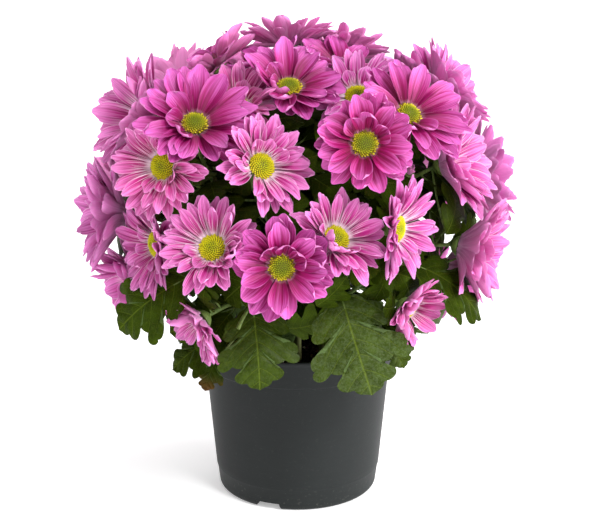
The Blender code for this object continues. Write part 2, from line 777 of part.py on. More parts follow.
def turned(name, profile, sides, collection, finish):
    """A profile of (radius, height) points turned about the pot's axis."""
    mesh = bpy.data.meshes.new(name)
    edges = [(i, i + 1) for i in range(len(profile) - 1)]
    mesh.from_pydata([(radius, 0, height) for radius, height in profile], edges, [])
    piece = add_object(name, mesh, collection, finish)
    screw = piece.modifiers.new("Turn", "SCREW")
    screw.steps = screw.render_steps = sides
    screw.use_merge_vertices = True
    screw.merge_threshold = WELD
    screw.use_smooth_shade = True
    return piece


def wall_radius(height):
    """The radius of the wall's outer face at a height."""
    return WALL_FOOT_RADIUS + (WALL_TOP_RADIUS - WALL_FOOT_RADIUS) * height / BAND_FOOT


def pot_profile():
    """The pot's section, from the rim down the outside and up the inside again."""
    rim_inside = (RIM_RADIUS - RIM_THICKNESS, POT_HEIGHT)
    foot_radius = WALL_FOOT_RADIUS - FOOT_STEP
    corner = [
        (foot_radius - CORNER_RADIUS * (1 - math.cos(turn)), CORNER_RADIUS * (1 - math.sin(turn)))
        for turn in (0, math.pi / 4, math.pi / 2)
    ]
    ring_inside = foot_radius - CORNER_RADIUS - FOOT_RING_WIDTH
    step_radius = wall_radius(FOOT_STEP_HEIGHT)
    return [
        rim_inside,
        (RIM_RADIUS - RIM_ROUNDING / 4, POT_HEIGHT),
        (RIM_RADIUS, POT_HEIGHT - RIM_ROUNDING),
        (BAND_RADIUS + RIM_ROUNDING / 2, POT_HEIGHT - RIM_ROUNDING * 2.5),
        (BAND_RADIUS, BAND_FOOT),
        (WALL_TOP_RADIUS, BAND_FOOT - BAND_UNDERCUT),
        (step_radius, FOOT_STEP_HEIGHT),
        (step_radius - FOOT_STEP, FOOT_STEP_HEIGHT - FOOT_STEP),
        *corner,
        (ring_inside, 0),
        (ring_inside - FOOT_RING_DRAFT, FLOOR_RECESS),
        (0, FLOOR_RECESS),
        (0, FLOOR_TOP),
        (wall_radius(FLOOR_TOP) - POT_WALL - FOOT_STEP - INNER_CORNER, FLOOR_TOP),
        (wall_radius(FLOOR_TOP + INNER_CORNER) - POT_WALL - FOOT_STEP, FLOOR_TOP + INNER_CORNER),
        (WALL_TOP_RADIUS - POT_WALL, BAND_FOOT - BAND_UNDERCUT),
        (BAND_RADIUS - RIM_THICKNESS, BAND_FOOT + BAND_UNDERCUT),
        rim_inside,
    ]


def build_pot(collection, cutters, finish):
    """The turned wall with its rim band, recessed floor, three foot notches and drain holes."""
    pot = turned("pot", pot_profile(), POT_SIDES, collection, finish)
    for number, azimuth in enumerate(NOTCH_AZIMUTHS):
        form = bmesh.new()
        bmesh.ops.create_cube(form, size=1)
        for vert in form.verts:
            wide = NOTCH_WIDTH * (1.0 if vert.co.z < 0 else NOTCH_TOP_SHARE)
            vert.co *= Vector((wide, NOTCH_DEPTH, 2 * NOTCH_HEIGHT))
        there = Matrix.Rotation(math.radians(azimuth), 4, "Z") @ Matrix.Translation((0, -WALL_FOOT_RADIUS, 0))
        cut_with(pot, f"notch_{number}", form, there, cutters)
        form = bmesh.new()
        bmesh.ops.create_cone(
            form, cap_ends=True, segments=DRAIN_SIDES,
            radius1=DRAIN_RADIUS, radius2=DRAIN_RADIUS, depth=DRAIN_CUT,
        )
        turn = Matrix.Rotation(math.radians(azimuth + DRAIN_TURN), 4, "Z")
        cut_with(pot, f"drain_{number}", form, turn @ Matrix.Translation((0, -DRAIN_CIRCLE, 0)), cutters)
    return pot


def cut_with(piece, name, form, matrix, cutters):
    """Makes a cutter of this form, placed by the matrix, and cuts the piece with it."""
    bmesh.ops.transform(form, matrix=matrix, verts=form.verts)
    mesh = bpy.data.meshes.new(name)
    form.to_mesh(mesh)
    form.free()
    cutter = bpy.data.objects.new(name, mesh)
    cutters.objects.link(cutter)
    cutter.hide_render = True
    cutter.display_type = "WIRE"
    boolean(piece, "DIFFERENCE", "EXACT", target=cutter)


def build_soil(stems, collection, cutters, finish):
    """Peat that fills the pot, lumpy on top, with a plain hole for each stem."""
    floor = FLOOR_TOP + SOIL_GAP
    top_radius = wall_radius(SOIL_SHOULDER) - SOIL_INSET
    foot_radius = wall_radius(floor) - SOIL_INSET
    profile = [(top_radius * ring / SOIL_RINGS, SOIL_TOP) for ring in range(SOIL_RINGS + 1)]
    profile += [
        (top_radius, SOIL_SHOULDER),
        (foot_radius - SOIL_CORNER / 2, floor + SOIL_CORNER / 2),
        (foot_radius - SOIL_CORNER, floor),
        (0, floor),
    ]
    soil = turned("soil", profile, SOIL_SIDES, collection, finish)
    mesh = evaluated_copy(soil)
    for vert in mesh.vertices:
        if abs(vert.co.z - SOIL_TOP) < WELD:
            wave = math.sin(vert.co.x * SOIL_WAVES_X) * math.cos(vert.co.y * SOIL_WAVES_Y)
            vert.co.z += SOIL_BUMP * wave - SOIL_SAG * (vert.co.xy.length / top_radius) ** 2
    soil.modifiers.clear()
    soil.data = mesh
    for stem in stems:
        foot = stem.line[0]
        form = bmesh.new()
        bmesh.ops.create_cone(
            form, cap_ends=True, segments=STEM_HOLE_SIDES,
            radius1=STEM_HOLE_RADIUS, radius2=STEM_HOLE_RADIUS, depth=STEM_HOLE_DEPTH * 2,
        )
        lean = (stem.line[1] - foot).to_track_quat("Z", "Y").to_matrix().to_4x4()
        lift = Matrix.Translation((0, 0, STEM_HOLE_DEPTH - SOIL_GAP))
        cut_with(soil, f"hole_{stem.number}", form, Matrix.Translation(foot) @ lean @ lift, cutters)


def rule_leaves(stem):
    """Leaves that spiral up a stem, turned within its own sector; the upper ones rise more."""
    draw = random.Random(100 + stem.number)
    up = Vector((0, 0, 1))
    for index in range(LEAVES_PER_STEM):
        rise = index / (LEAVES_PER_STEM - 1)
        height = LEAF_LOW + (LEAF_HIGH - LEAF_LOW) * rise
        azimuth = stem.azimuth + LEAF_SWING * math.sin(LEAF_SPIRAL * index + stem.number)
        if height < FRONT_CLEAR_HEIGHT and abs((azimuth + 180) % 360 - 180) < FRONT_CLEAR_AZIMUTH:
            continue
        out = direction(azimuth, 0)
        lift = math.radians(draw.uniform(*LEAF_LIFT) + LEAF_LIFT_GAIN * rise)
        droop = math.radians(draw.uniform(*LEAF_DROOP) + LEAF_DROOP_GAIN * rise)
        root = stem.at_height(height * MM) / MM
        base = root + (out * math.cos(lift) + up * math.sin(lift)) * draw.uniform(*LEAF_STALK)
        tip = base + (out * math.cos(droop) + up * math.sin(droop)) * draw.uniform(*LEAF_BLADE)
        yield Leaf(stem.number, height, base, tip, up + out)


def main():
    """Clears the scene and builds the pot, the peat, the blooms and the stems."""
    for piece in list(bpy.data.objects):
        bpy.data.objects.remove(piece)
    plant = bpy.data.collections.new("pot_chrysanthemum")
    cutters = bpy.data.collections.new("cutters")
    for group in (plant, cutters):
        bpy.context.scene.collection.children.link(group)
    finishes = {
        "petal": material("pink_petal", (0.62, 0.08, 0.34), 0.55),
        "disc": material("yellow_disc", (0.55, 0.5, 0.03), 0.7),
        "green": material("green_leaf", (0.09, 0.17, 0.03), 0.55),
        "pot": material("anthracite_plastic", (0.035, 0.04, 0.043), 0.5),
        "soil": material("dark_peat", (0.015, 0.01, 0.007), 0.95),
    }
    obstacles = Obstacles()
    pot = build_pot(plant, cutters, finishes["pot"])
    pot_mesh = evaluated_copy(pot)
    obstacles.add([v.co.copy() for v in pot_mesh.vertices], [tuple(p.vertices) for p in pot_mesh.polygons])
    blooms = [BloomSolid(number, bloom) for number, bloom in enumerate(BLOOMS, 1)]
    stems = [Stem(number, azimuth) for number, azimuth in enumerate(STEM_AZIMUTHS)]
    for bloom in blooms:
        bloom.claim_middle(obstacles)
    for stem in stems:
        obstacles.add(*trial_tube(stem.line, STEM_RADIUS), stem.name)
        stem.hold_front_leaves(obstacles)
    for bloom in blooms:
        build_bloom(bloom, obstacles, plant, finishes)
    for stem in stems:
        carried = [bloom for bloom in blooms if stem.is_nearest(bloom.bloom.azimuth)]
        stem.build(carried, obstacles, plant, finishes["green"])
    build_soil(stems, plant, cutters, finishes["soil"])


main()
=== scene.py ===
"""Pot chrysanthemum: the finished looks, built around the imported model, in metres, +Z up.

Every bloom, stem and main leaf is read from the frame and grown again with finer petals, florets,
blades and stalks in the same places. Small leaves along the branches, leaves that line the crown,
one bud and two leaves that the photograph shows are added. -Y is the front and +X the right.
"""

from __future__ import annotations

import sys

import logging
import math
import random
from collections.abc import Callable, Mapping, Sequence
from dataclasses import dataclass, field
from enum import Enum
from typing import Any

import bmesh
import bpy
import numpy as np
from mathutils import Matrix, Vector
from mathutils.bvhtree import BVHTree


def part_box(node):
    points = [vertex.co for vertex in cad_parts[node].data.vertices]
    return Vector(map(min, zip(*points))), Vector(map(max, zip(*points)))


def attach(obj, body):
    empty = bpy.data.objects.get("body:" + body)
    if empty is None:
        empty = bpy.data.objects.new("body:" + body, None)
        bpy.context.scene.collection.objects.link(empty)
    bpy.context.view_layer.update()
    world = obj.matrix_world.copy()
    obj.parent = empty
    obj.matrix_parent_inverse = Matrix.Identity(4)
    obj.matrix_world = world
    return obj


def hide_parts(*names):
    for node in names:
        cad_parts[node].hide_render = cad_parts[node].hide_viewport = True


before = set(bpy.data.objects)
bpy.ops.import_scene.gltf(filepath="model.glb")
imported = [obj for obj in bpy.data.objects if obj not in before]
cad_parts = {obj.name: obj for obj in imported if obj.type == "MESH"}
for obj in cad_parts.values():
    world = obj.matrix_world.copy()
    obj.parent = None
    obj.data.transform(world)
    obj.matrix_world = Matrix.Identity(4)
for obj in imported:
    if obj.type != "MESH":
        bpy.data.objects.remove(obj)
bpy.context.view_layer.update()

LOG = logging.getLogger("chrysanthemum")
BODY = "root"
MM = 0.001
WELD = 1e-6
UP = Vector((0, 0, 1))

Colour = tuple[float, float, float]


class Slot(Enum):
    """The material slots of the finishes."""

    PETAL = "pink_petal"
    DISC = "yellow_disc"
    GREEN = "green_leaf"
    PLASTIC = "anthracite_plastic"
    PEAT = "dark_peat"


class Ring(Enum):
    """Which layer of a bloom a petal stands in."""

    INNER = "inner"
    MIDDLE = "middle"
    OUTER = "outer"
    SHORT = "short"


def srgb(red: float, green: float, blue: float) -> Colour:
    """A colour given as it looks on a screen, 0 to 255, in the linear values that shaders use.

    Args:
        red: The red part.
        green: The green part.
        blue: The blue part.

    Returns:
        The three linear values, 0 to 1.
    """
    parts = (channel / 255 for channel in (red, green, blue))
    linear = tuple(p / 12.92 if p <= 0.04045 else ((p + 0.055) / 1.055) ** 2.4 for p in parts)
    return linear[0], linear[1], linear[2]


class Field:
    """A number that a node tree works out, written as a Python expression.

    Each operator adds a Math node to the tree that the value came from.
    """

    def __init__(self, graph: NodeGraph, socket: bpy.types.NodeSocket) -> None:
        """Wraps an output socket of the graph."""
        self.graph = graph
        self.socket = socket

    def math(self, operation: str, *others: Field | float, swapped: bool = False) -> Field:
        """Adds a Math node that works on this value and others.

        Args:
            operation: The Math node's operation.
            others: The other operands, values or numbers.
            swapped: True puts this value second.

        Returns:
            The result as a new value.
        """
        operands = [self, *others]
        if swapped:
            operands.reverse()
        made = self.graph.node("ShaderNodeMath", {"operation": operation}, dict(enumerate(operands)))
        return Field(self.graph, made.outputs[0])

    def __add__(self, other: Field | float) -> Field:
        """This plus the other."""
        return self.math("ADD", other)

    __radd__ = __add__

    def __sub__(self, other: Field | float) -> Field:
        """This minus the other."""
        return self.math("SUBTRACT", other)

    def __rsub__(self, other: float) -> Field:
        """The other minus this."""
        return self.math("SUBTRACT", other, swapped=True)

    def __mul__(self, other: Field | float) -> Field:
        """This times the other."""
        return self.math("MULTIPLY", other)

    __rmul__ = __mul__

    def __truediv__(self, other: Field | float) -> Field:
        """This divided by the other."""
        return self.math("DIVIDE", other)

    def __rtruediv__(self, other: float) -> Field:
        """The other divided by this."""
        return self.math("DIVIDE", other, swapped=True)

    def __pow__(self, power: Field | float) -> Field:
        """This to a power."""
        return self.math("POWER", power)

    def __abs__(self) -> Field:
        """This without its sign."""
        return self.math("ABSOLUTE")

    def sine(self) -> Field:
        """The sine of this, in radians."""
        return self.math("SINE")

    def cosine(self) -> Field:
        """The cosine of this, in radians."""
        return self.math("COSINE")

    def rise(self, low: float, high: float) -> Field:
        """A smooth step of this value.

        Args:
            low: Where the step starts, at 0.
            high: Where it ends, at 1.

        Returns:
            The step as a value from 0 to 1.
        """
        inputs = {"Value": self, "From Min": low, "From Max": high}
        made = self.graph.node("ShaderNodeMapRange", {"interpolation_type": "SMOOTHSTEP"}, inputs)
        return Field(self.graph, made.outputs[0])


class NodeGraph:
    """A node tree that is written from top to bottom."""

    def __init__(self, tree: bpy.types.NodeTree) -> None:
        """Starts from an empty tree."""
        self.tree = tree
        tree.nodes.clear()

    def node(
        self,
        kind: str,
        settings: Mapping[str, Any] | None = None,
        inputs: Mapping[str | int, Any] | None = None,
    ) -> bpy.types.Node:
        """Adds a node. Its settings are set first, then the values or links of its sockets.

        Args:
            kind: The node's type.
            settings: Properties by name; "stops" are a colour ramp's (place, colour) pairs.
            inputs: Values, fields or sockets by the socket's name or number.

        Returns:
            The node.
        """
        made = self.tree.nodes.new(kind)
        for name, value in (settings or {}).items():
            if name == "stops":
                self._set_stops(made.color_ramp, value)
            else:
                setattr(made, name, value)
        for key, value in (inputs or {}).items():
            socket = made.inputs[key]
            if isinstance(value, Field):
                value = value.socket
            if isinstance(value, bpy.types.NodeSocket):
                self.tree.links.new(value, socket)
            elif isinstance(value, tuple) and socket.type == "RGBA":
                socket.default_value = (*value, 1)
            else:
                socket.default_value = value
        return made

    @staticmethod
    def _set_stops(ramp: bpy.types.ColorRamp, stops: Sequence[tuple[float, Colour]]) -> None:
        """Gives a colour ramp its stops.

        Args:
            ramp: The colour ramp.
            stops: Its (place, colour) pairs.
        """
        while len(ramp.elements) < len(stops):
            ramp.elements.new(1.0)
        for element, (place, colour) in zip(ramp.elements, stops):
            element.position = place
            element.color = (*colour, 1)

    def value(self, node: bpy.types.Node, output: str | int = 0) -> Field:
        """A node's output as a value to reckon with."""
        return Field(self, node.outputs[output])

    def parts(self, vector: Any) -> list[Field]:
        """The three values of a vector."""
        cut = self.node("ShaderNodeSeparateXYZ", None, {0: vector})
        return [self.value(cut, axis) for axis in range(3)]

    def vector(self, across: Any, along: Any, depth: Any = 0.0) -> bpy.types.NodeSocket:
        """A vector put together from three values."""
        return self.node("ShaderNodeCombineXYZ", None, {0: across, 1: along, 2: depth}).outputs[0]


class ShaderGraph(NodeGraph):
    """The nodes of one material."""

    def __init__(self, name: str) -> None:
        """Makes the material and empties its tree.

        Args:
            name: The material's name.
        """
        self.material = bpy.data.materials.new(name)
        self.material.use_nodes = True
        super().__init__(self.material.node_tree)

    def mix(self, share: Field | float, first: Any, second: Any) -> bpy.types.NodeSocket:
        """Mixes two colours or colour sockets, with this share of the second one."""
        made = self.node("ShaderNodeMix", {"data_type": "RGBA"}, {0: share, 6: first, 7: second})
        return made.outputs[2]

    def ramp(self, value: Field, stops: Sequence[tuple[float, Colour]]) -> bpy.types.NodeSocket:
        """A colour that follows a value through some stops."""
        return self.node("ShaderNodeValToRGB", {"stops": stops}, {0: value}).outputs[0]

    def attribute(self, name: str) -> bpy.types.Node:
        """The node that reads one of the mesh's attributes."""
        return self.node("ShaderNodeAttribute", {"attribute_name": name})

    def place(self) -> bpy.types.NodeSocket:
        """The point in object coordinates, in metres."""
        return self.node("ShaderNodeTexCoord").outputs["Object"]

    def map(self, name: str) -> list[Field]:
        """The mesh's own map of this name, across from -1 to 1 and along from 0 to 1."""
        across, along, _ = self.parts(self.node("ShaderNodeUVMap", {"uv_map": name}).outputs[0])
        return [(across - 0.5) * 2.0, along]

    def level(self, name: str) -> Field:
        """One of the mesh's attributes as a value."""
        return self.value(self.attribute(name), "Fac")

    def traits(self) -> list[Field]:
        """The three numbers that each petal or blade carries."""
        return self.parts(self.attribute("traits").outputs["Vector"])

    def stretched(self, by: tuple[float, float, float]) -> bpy.types.NodeSocket:
        """The point in object coordinates, scaled along each axis."""
        inputs = {0: self.place(), 1: Vector(by)}
        return self.node("ShaderNodeVectorMath", {"operation": "MULTIPLY"}, inputs).outputs[0]

    def tuned(self, colour: Any, value: Any, hue: Any = 0.5) -> bpy.types.NodeSocket:
        """A colour made lighter or darker, and turned in hue."""
        inputs = {"Hue": hue, "Saturation": 1.0, "Value": value, "Color": colour}
        return self.node("ShaderNodeHueSaturation", None, inputs).outputs[0]

    def noise(self, where: Any, scale: float, detail: float = 3.0, roughness: float = 0.55) -> Field:
        """Soft noise from 0 to 1.

        Args:
            where: The vector socket that the noise lies in.
            scale: How many features to the unit.
            detail: How many finer layers.
            roughness: How strong those are.

        Returns:
            The noise as a value.
        """
        inputs = {"Vector": where, "Scale": scale, "Detail": detail, "Roughness": roughness}
        return self.value(self.node("ShaderNodeTexNoise", None, inputs))

    def finish(
        self, inputs: Mapping[str, Any], bump: Field | None = None, depth: float = 0.0
    ) -> bpy.types.Material:
        """Ends the tree in a Principled shader.

        Args:
            inputs: The shader's sockets.
            bump: The height of the relief, 0 to 1, or None for a smooth surface.
            depth: The relief's full height in metres.

        Returns:
            The material.
        """
        shader = self.node("ShaderNodeBsdfPrincipled", None, inputs)
        if bump is not None:
            relief = self.node("ShaderNodeBump", None, {"Height": bump, "Distance": depth, "Strength": 1.0})
            self.tree.links.new(relief.outputs["Normal"], shader.inputs["Normal"])
        self.node("ShaderNodeOutputMaterial", None, {"Surface": shader.outputs[0]})
        return self.material


@dataclass(frozen=True)
class PetalFinish:
    """The pink of the petals: streaked, with paler backs, painted shade along the grooves, darker roots and
    lighter tips that are partly painted shade and light, and pale edges that are partly painted highlight.

    The mesh gives a map (across, along) and an attribute of (freshness, petal's draw, bloom's draw).
    """

    # Root colours are partly the petals' own deeper colour and partly painted shade near the disc; tip
    # colours are partly painted light.
    fresh_root: Colour = srgb(110, 2, 52)
    fresh_middle: Colour = srgb(158, 16, 104)
    fresh_tip: Colour = srgb(216, 100, 190)
    open_root: Colour = srgb(146, 10, 88)
    open_middle: Colour = srgb(194, 46, 142)
    open_tip: Colour = srgb(234, 140, 208)
    white: Colour = srgb(250, 226, 242)
    back: Colour = srgb(242, 156, 214)
    vein_count: float = 7.0
    vein_contrast: float = 1.3
    fine_darkening: float = 0.34
    # Where and how wide the painted shade along each petal's grooves lies.
    groove_at: float = 0.36
    painted_groove_shade_width: float = 0.13
    # How much white the edges and tips get: partly a real paler rim, partly painted highlight.
    rim_and_highlight_share: float = 0.42
    back_share: float = 0.72
    hue_spread: float = 0.022
    vein_depth: float = 0.4 * MM

    def material(self) -> bpy.types.Material:
        """Builds the material.

        Returns:
            The material.
        """
        g = ShaderGraph("pink_petal")
        across, along = g.map("petal")
        fresh, own, bloom = g.traits()
        back, edge = g.level("back"), abs(across)
        lengthwise = across * self.vein_count
        streaks = g.noise(g.vector(lengthwise + own * 37.0, along * 0.7, own * 11.0), 1.0, 3.0)
        fine = g.noise(g.vector(lengthwise * 3.0 + own * 91.0, along * 1.3, own * 23.0), 1.0, 2.0)
        body = along + (streaks - 0.5) * self.vein_contrast
        # The ramp from dark roots to light tips is partly real colour, partly painted shade at the roots and
        # painted light at the tips.
        fresh_stops = [(0.0, self.fresh_root), (0.42, self.fresh_middle), (0.95, self.fresh_tip)]
        open_stops = [(0.0, self.open_root), (0.4, self.open_middle), (0.95, self.open_tip)]
        colour = g.mix(fresh, g.ramp(body, open_stops), g.ramp(body, fresh_stops))
        colour = g.mix((1.0 - fine.rise(0.35, 0.6)) * self.fine_darkening, colour, self.fresh_root)
        # Painted shade: the grooves along each petal are darkened towards the root colour.
        groove = 1.0 - abs(edge - self.groove_at).rise(0.0, self.painted_groove_shade_width)
        groove = groove * (1.0 - along.rise(0.6, 1.0)) * (0.5 - fresh * 0.25)
        colour = g.mix(groove, colour, self.fresh_root)
        # Pale edges and tips: partly the petals' own paler rim, partly a painted highlight.
        rim = edge.rise(0.88, 1.0).math("MAXIMUM", along.rise(0.96, 1.0) * 0.6)
        colour = g.mix(rim * (self.rim_and_highlight_share - fresh * self.rim_and_highlight_share), colour, self.white)
        root = 1.0 - along.rise(0.02, 0.2)
        lines = streaks.rise(0.48, 0.62) * (1.0 - along.rise(0.15, 0.66))
        base = (1.0 - along.rise(0.02, 0.1)) * (0.32 - fresh * 0.2)
        pale = (root * 0.8).math("MAXIMUM", lines * 0.85) * (1.0 - fresh.rise(0.2, 0.75))
        colour = g.mix(pale.math("MAXIMUM", base), colour, self.white)
        colour = g.mix(back * (self.back_share - fresh * 0.2), colour, self.back)
        tone = bloom - 0.5
        inputs = {
            "Base Color": g.tuned(colour, 0.9 + own * 0.16 + tone * 0.12, 0.5 + tone * self.hue_spread),
            "Roughness": 0.4 + fine * 0.16,
            "Specular IOR Level": 0.3,
            "Subsurface Weight": 0.25,
            "Subsurface Radius": (1.0, 0.5, 0.8),
            "Subsurface Scale": 1.0 * MM,
        }
        return g.finish(inputs, streaks * 0.6 + fine * 0.4, self.vein_depth)


@dataclass(frozen=True)
class DiscFinish:
    """Yellow-green florets over a dome painted dark olive as shade between them. A fresh disc is olive, with
    brown florets near its rim.
    """

    heart: Colour = srgb(112, 128, 10)
    olive: Colour = srgb(166, 164, 14)
    gold: Colour = srgb(212, 186, 28)
    lime: Colour = srgb(180, 184, 14)
    yellow: Colour = srgb(214, 206, 12)
    rim: Colour = srgb(204, 188, 22)
    brown: Colour = srgb(104, 62, 26)
    # The dark olive of the dome between the florets: painted shade.
    gap: Colour = srgb(84, 78, 10)
    bright: Colour = srgb(232, 214, 60)

    def material(self) -> bpy.types.Material:
        """Builds the material.

        Returns:
            The material.
        """
        g = ShaderGraph("yellow_disc")
        rank, fresh, draw = (g.level(name) for name in ("rank", "fresh", "draw"))
        grain = g.noise(g.place(), 900.0, 2.0)
        open_colour = g.ramp(rank, [(0.0, self.lime), (0.35, self.yellow), (1.0, self.rim)])
        fresh_colour = g.ramp(rank, [(0.0, self.heart), (0.45, self.olive), (0.8, self.gold)])
        colour = g.mix(fresh, open_colour, fresh_colour)
        outer = rank.rise(0.5, 0.72)
        colour = g.mix(outer * (1.0 - draw.rise(0.4, 0.5)) * (0.12 + fresh * 0.75), colour, self.brown)
        colour = g.mix(outer * draw.rise(0.6, 0.7) * 0.6, colour, self.bright)
        # Painted shade: the dome between the florets is dark olive.
        colour = g.mix(rank.math("LESS_THAN", -0.5), colour, self.gap)
        inputs = {
            "Base Color": g.mix((1.0 - grain) * 0.3, colour, self.heart),
            "Roughness": 0.62,
            "Specular IOR Level": 0.3,
            "Subsurface Weight": 0.15,
            "Subsurface Radius": (1.0, 0.9, 0.2),
            "Subsurface Scale": 0.8 * MM,
        }
        return g.finish(inputs, grain, 0.1 * MM)


@dataclass(frozen=True)
class LeafFinish:
    """Dark green blades with pale veins, a downy greyish tone, a painted sheen where the light strikes, and
    paler undersides.

    The mesh gives a map (across, along) and an attribute of (leaf's draw, withering, hair_and_sheen: greyish
    down and painted sheen).
    """

    dark: Colour = srgb(39, 53, 3)
    light: Colour = srgb(58, 76, 5)
    vein: Colour = srgb(106, 124, 34)
    # The greyish colour of down and of the painted sheen.
    hair_and_sheen_grey: Colour = srgb(122, 138, 104)
    back: Colour = srgb(92, 114, 66)
    brown: Colour = srgb(92, 60, 26)
    vein_pitch: float = 0.15
    vein_lead: float = 0.22
    vein_curve: float = 0.25
    vein_share: float = 0.42
    relief: float = 1.2 * MM

    def material(self) -> bpy.types.Material:
        """Builds the material.

        Returns:
            The material.
        """
        g = ShaderGraph("green_leaf")
        across, along = g.map("blade")
        across = abs(across)
        own, withered, hair_and_sheen = g.traits()
        back, here = g.level("back"), g.place()
        mottle = g.noise(here, 130.0, 4.0)
        hair = g.noise(here, 620.0, 3.0, 0.7)
        midrib = 1.0 - across.rise(0.006, 0.034)
        phase = (along - across * self.vein_lead - across * across * self.vein_curve) / self.vein_pitch
        side = abs((phase * math.pi).sine())
        side_vein = (1.0 - side.rise(0.04, 0.2)) * (1.0 - across.rise(0.5, 0.95)) * 0.7
        net = g.node(
            "ShaderNodeTexVoronoi",
            {"feature": "DISTANCE_TO_EDGE"},
            {"Vector": g.vector(across * 9.0, along * 22.0, own * 40.0), "Scale": 1.0},
        )
        mesh_vein = 1.0 - g.value(net, 0).rise(0.0, 0.09)
        veins = midrib.math("MAXIMUM", side_vein)
        colour = g.mix(mottle.rise(0.25, 0.8), self.dark, self.light)
        # Painted sheen: the base colour turns greyer by hair_and_sheen, partly a real downy greyness and
        # partly a painted sheen near where the light strikes.
        colour = g.mix(hair_and_sheen * hair.rise(0.35, 0.7) * 0.16, colour, self.hair_and_sheen_grey)
        colour = g.mix(veins * self.vein_share + mesh_vein * 0.1, colour, self.vein)
        colour = g.mix(back * 0.55, colour, self.back)
        wither = (withered * (along + mottle * 0.5)).rise(0.45, 0.9)
        colour = g.mix(wither, colour, self.brown)
        inputs = {
            "Base Color": g.tuned(colour, 0.78 + own * 0.4),
            "Roughness": 0.42 + hair * 0.16,
            "Specular IOR Level": 0.03,
            "Coat Weight": (0.005 + hair_and_sheen * 0.21) * (0.6 + mottle.rise(0.35, 0.7) * 0.4),
            "Coat Roughness": 0.34,
        }
        height = 0.5 - midrib * 0.3 - side_vein * 0.35 - mesh_vein * 0.16 + hair * 0.08
        return g.finish(inputs, height, self.relief)


@dataclass(frozen=True)
class StemFinish:
    """Ribbed green stalks and calyxes, a little woodier and browner low down."""

    green: Colour = srgb(78, 104, 40)
    pale: Colour = srgb(120, 142, 72)
    woody: Colour = srgb(88, 78, 46)

    def material(self) -> bpy.types.Material:
        """Builds the material.

        Returns:
            The material.
        """
        g = ShaderGraph("green_stem")
        height = g.parts(g.place())[2]
        fibre = g.noise(g.stretched((900, 900, 60)), 1.0, 3.0)
        colour = g.mix(fibre.rise(0.35, 0.7), self.green, self.pale)
        colour = g.mix((1.0 - height.rise(0.09, 0.16)) * 0.7, colour, self.woody)
        inputs = {"Base Color": colour, "Roughness": 0.5 + fibre * 0.15, "Specular IOR Level": 0.4}
        return g.finish(inputs, fibre, 0.15 * MM)


@dataclass(frozen=True)
class PlasticFinish:
    """Anthracite moulded plastic: a fine grain, faint flow marks, and dust in its lower part."""

    dark: Colour = srgb(31, 33, 33)
    light: Colour = srgb(42, 45, 45)
    dust: Colour = srgb(90, 90, 84)

    def material(self) -> bpy.types.Material:
        """Builds the material.

        Returns:
            The material.
        """
        g = ShaderGraph("anthracite_plastic")
        here = g.place()
        height = g.parts(here)[2]
        cloud = g.noise(here, 26.0, 4.0)
        grain = g.noise(here, 1900.0, 2.0)
        flow = g.noise(g.stretched((70, 70, 900)), 1.0, 2.0)
        specks = g.noise(here, 520.0, 2.0)
        colour = g.mix(cloud * 0.7 + flow * 0.3, self.dark, self.light)
        low = 1.0 - height.rise(0.0, 0.02)
        dusty = specks.rise(0.6, 0.75) * (0.08 + low * 0.35)
        inputs = {
            "Base Color": g.mix(dusty, colour, self.dust),
            "Roughness": 0.4 + cloud * 0.1 + grain * 0.08,
            "Specular IOR Level": 0.1,
        }
        return g.finish(inputs, grain * 0.5 + flow * 0.35 + cloud * 0.15, 0.06 * MM)


@dataclass(frozen=True)
class PeatFinish:
    """Moist black-brown peat with straw-coloured and pale crumbs among the dark ones."""

    black: Colour = srgb(20, 14, 10)
    brown: Colour = srgb(58, 40, 27)
    straw: Colour = srgb(142, 112, 74)
    pale: Colour = srgb(196, 190, 178)

    def material(self) -> bpy.types.Material:
        """Builds the material.

        Returns:
            The material.
        """
        g = ShaderGraph("dark_peat")
        here = g.place()
        lump = g.noise(here, 240.0, 5.0, 0.7)
        draw = g.level("draw")
        colour = g.mix(lump.rise(0.35, 0.75), self.black, self.brown)
        colour = g.mix(draw.rise(0.86, 0.9) * 0.8, colour, self.straw)
        colour = g.mix(draw.rise(0.965, 0.97), colour, self.pale)
        inputs = {"Base Color": colour, "Roughness": 0.85 + lump * 0.12, "Specular IOR Level": 0.25}
        return g.finish(inputs, lump, 0.7 * MM)


@dataclass(frozen=True)
class FloorFinish:
    """A plain pale floor with a hardly visible mottle."""

    colour: Colour = (0.97, 0.97, 0.97)
    glow: float = 0.34

    def material(self) -> bpy.types.Material:
        """Builds the material.

        Returns:
            The material.
        """
        g = ShaderGraph("pale_floor")
        mottle = g.noise(g.place(), 3.0)
        inputs = {
            "Base Color": g.mix(mottle * 0.05, self.colour, (1.0, 1.0, 1.0)),
            "Roughness": 0.8,
            "Emission Color": (1.0, 1.0, 1.0),
            "Emission Strength": self.glow,
        }
        return g.finish(inputs)


class Finishes:
    """The materials, each built once."""

    def __init__(self) -> None:
        """Builds them all."""
        self.petal = PetalFinish().material()
        self.disc = DiscFinish().material()
        self.leaf = LeafFinish().material()
        self.stem = StemFinish().material()
        self.plastic = PlasticFinish().material()
        self.peat = PeatFinish().material()
        self.floor = FloorFinish().material()


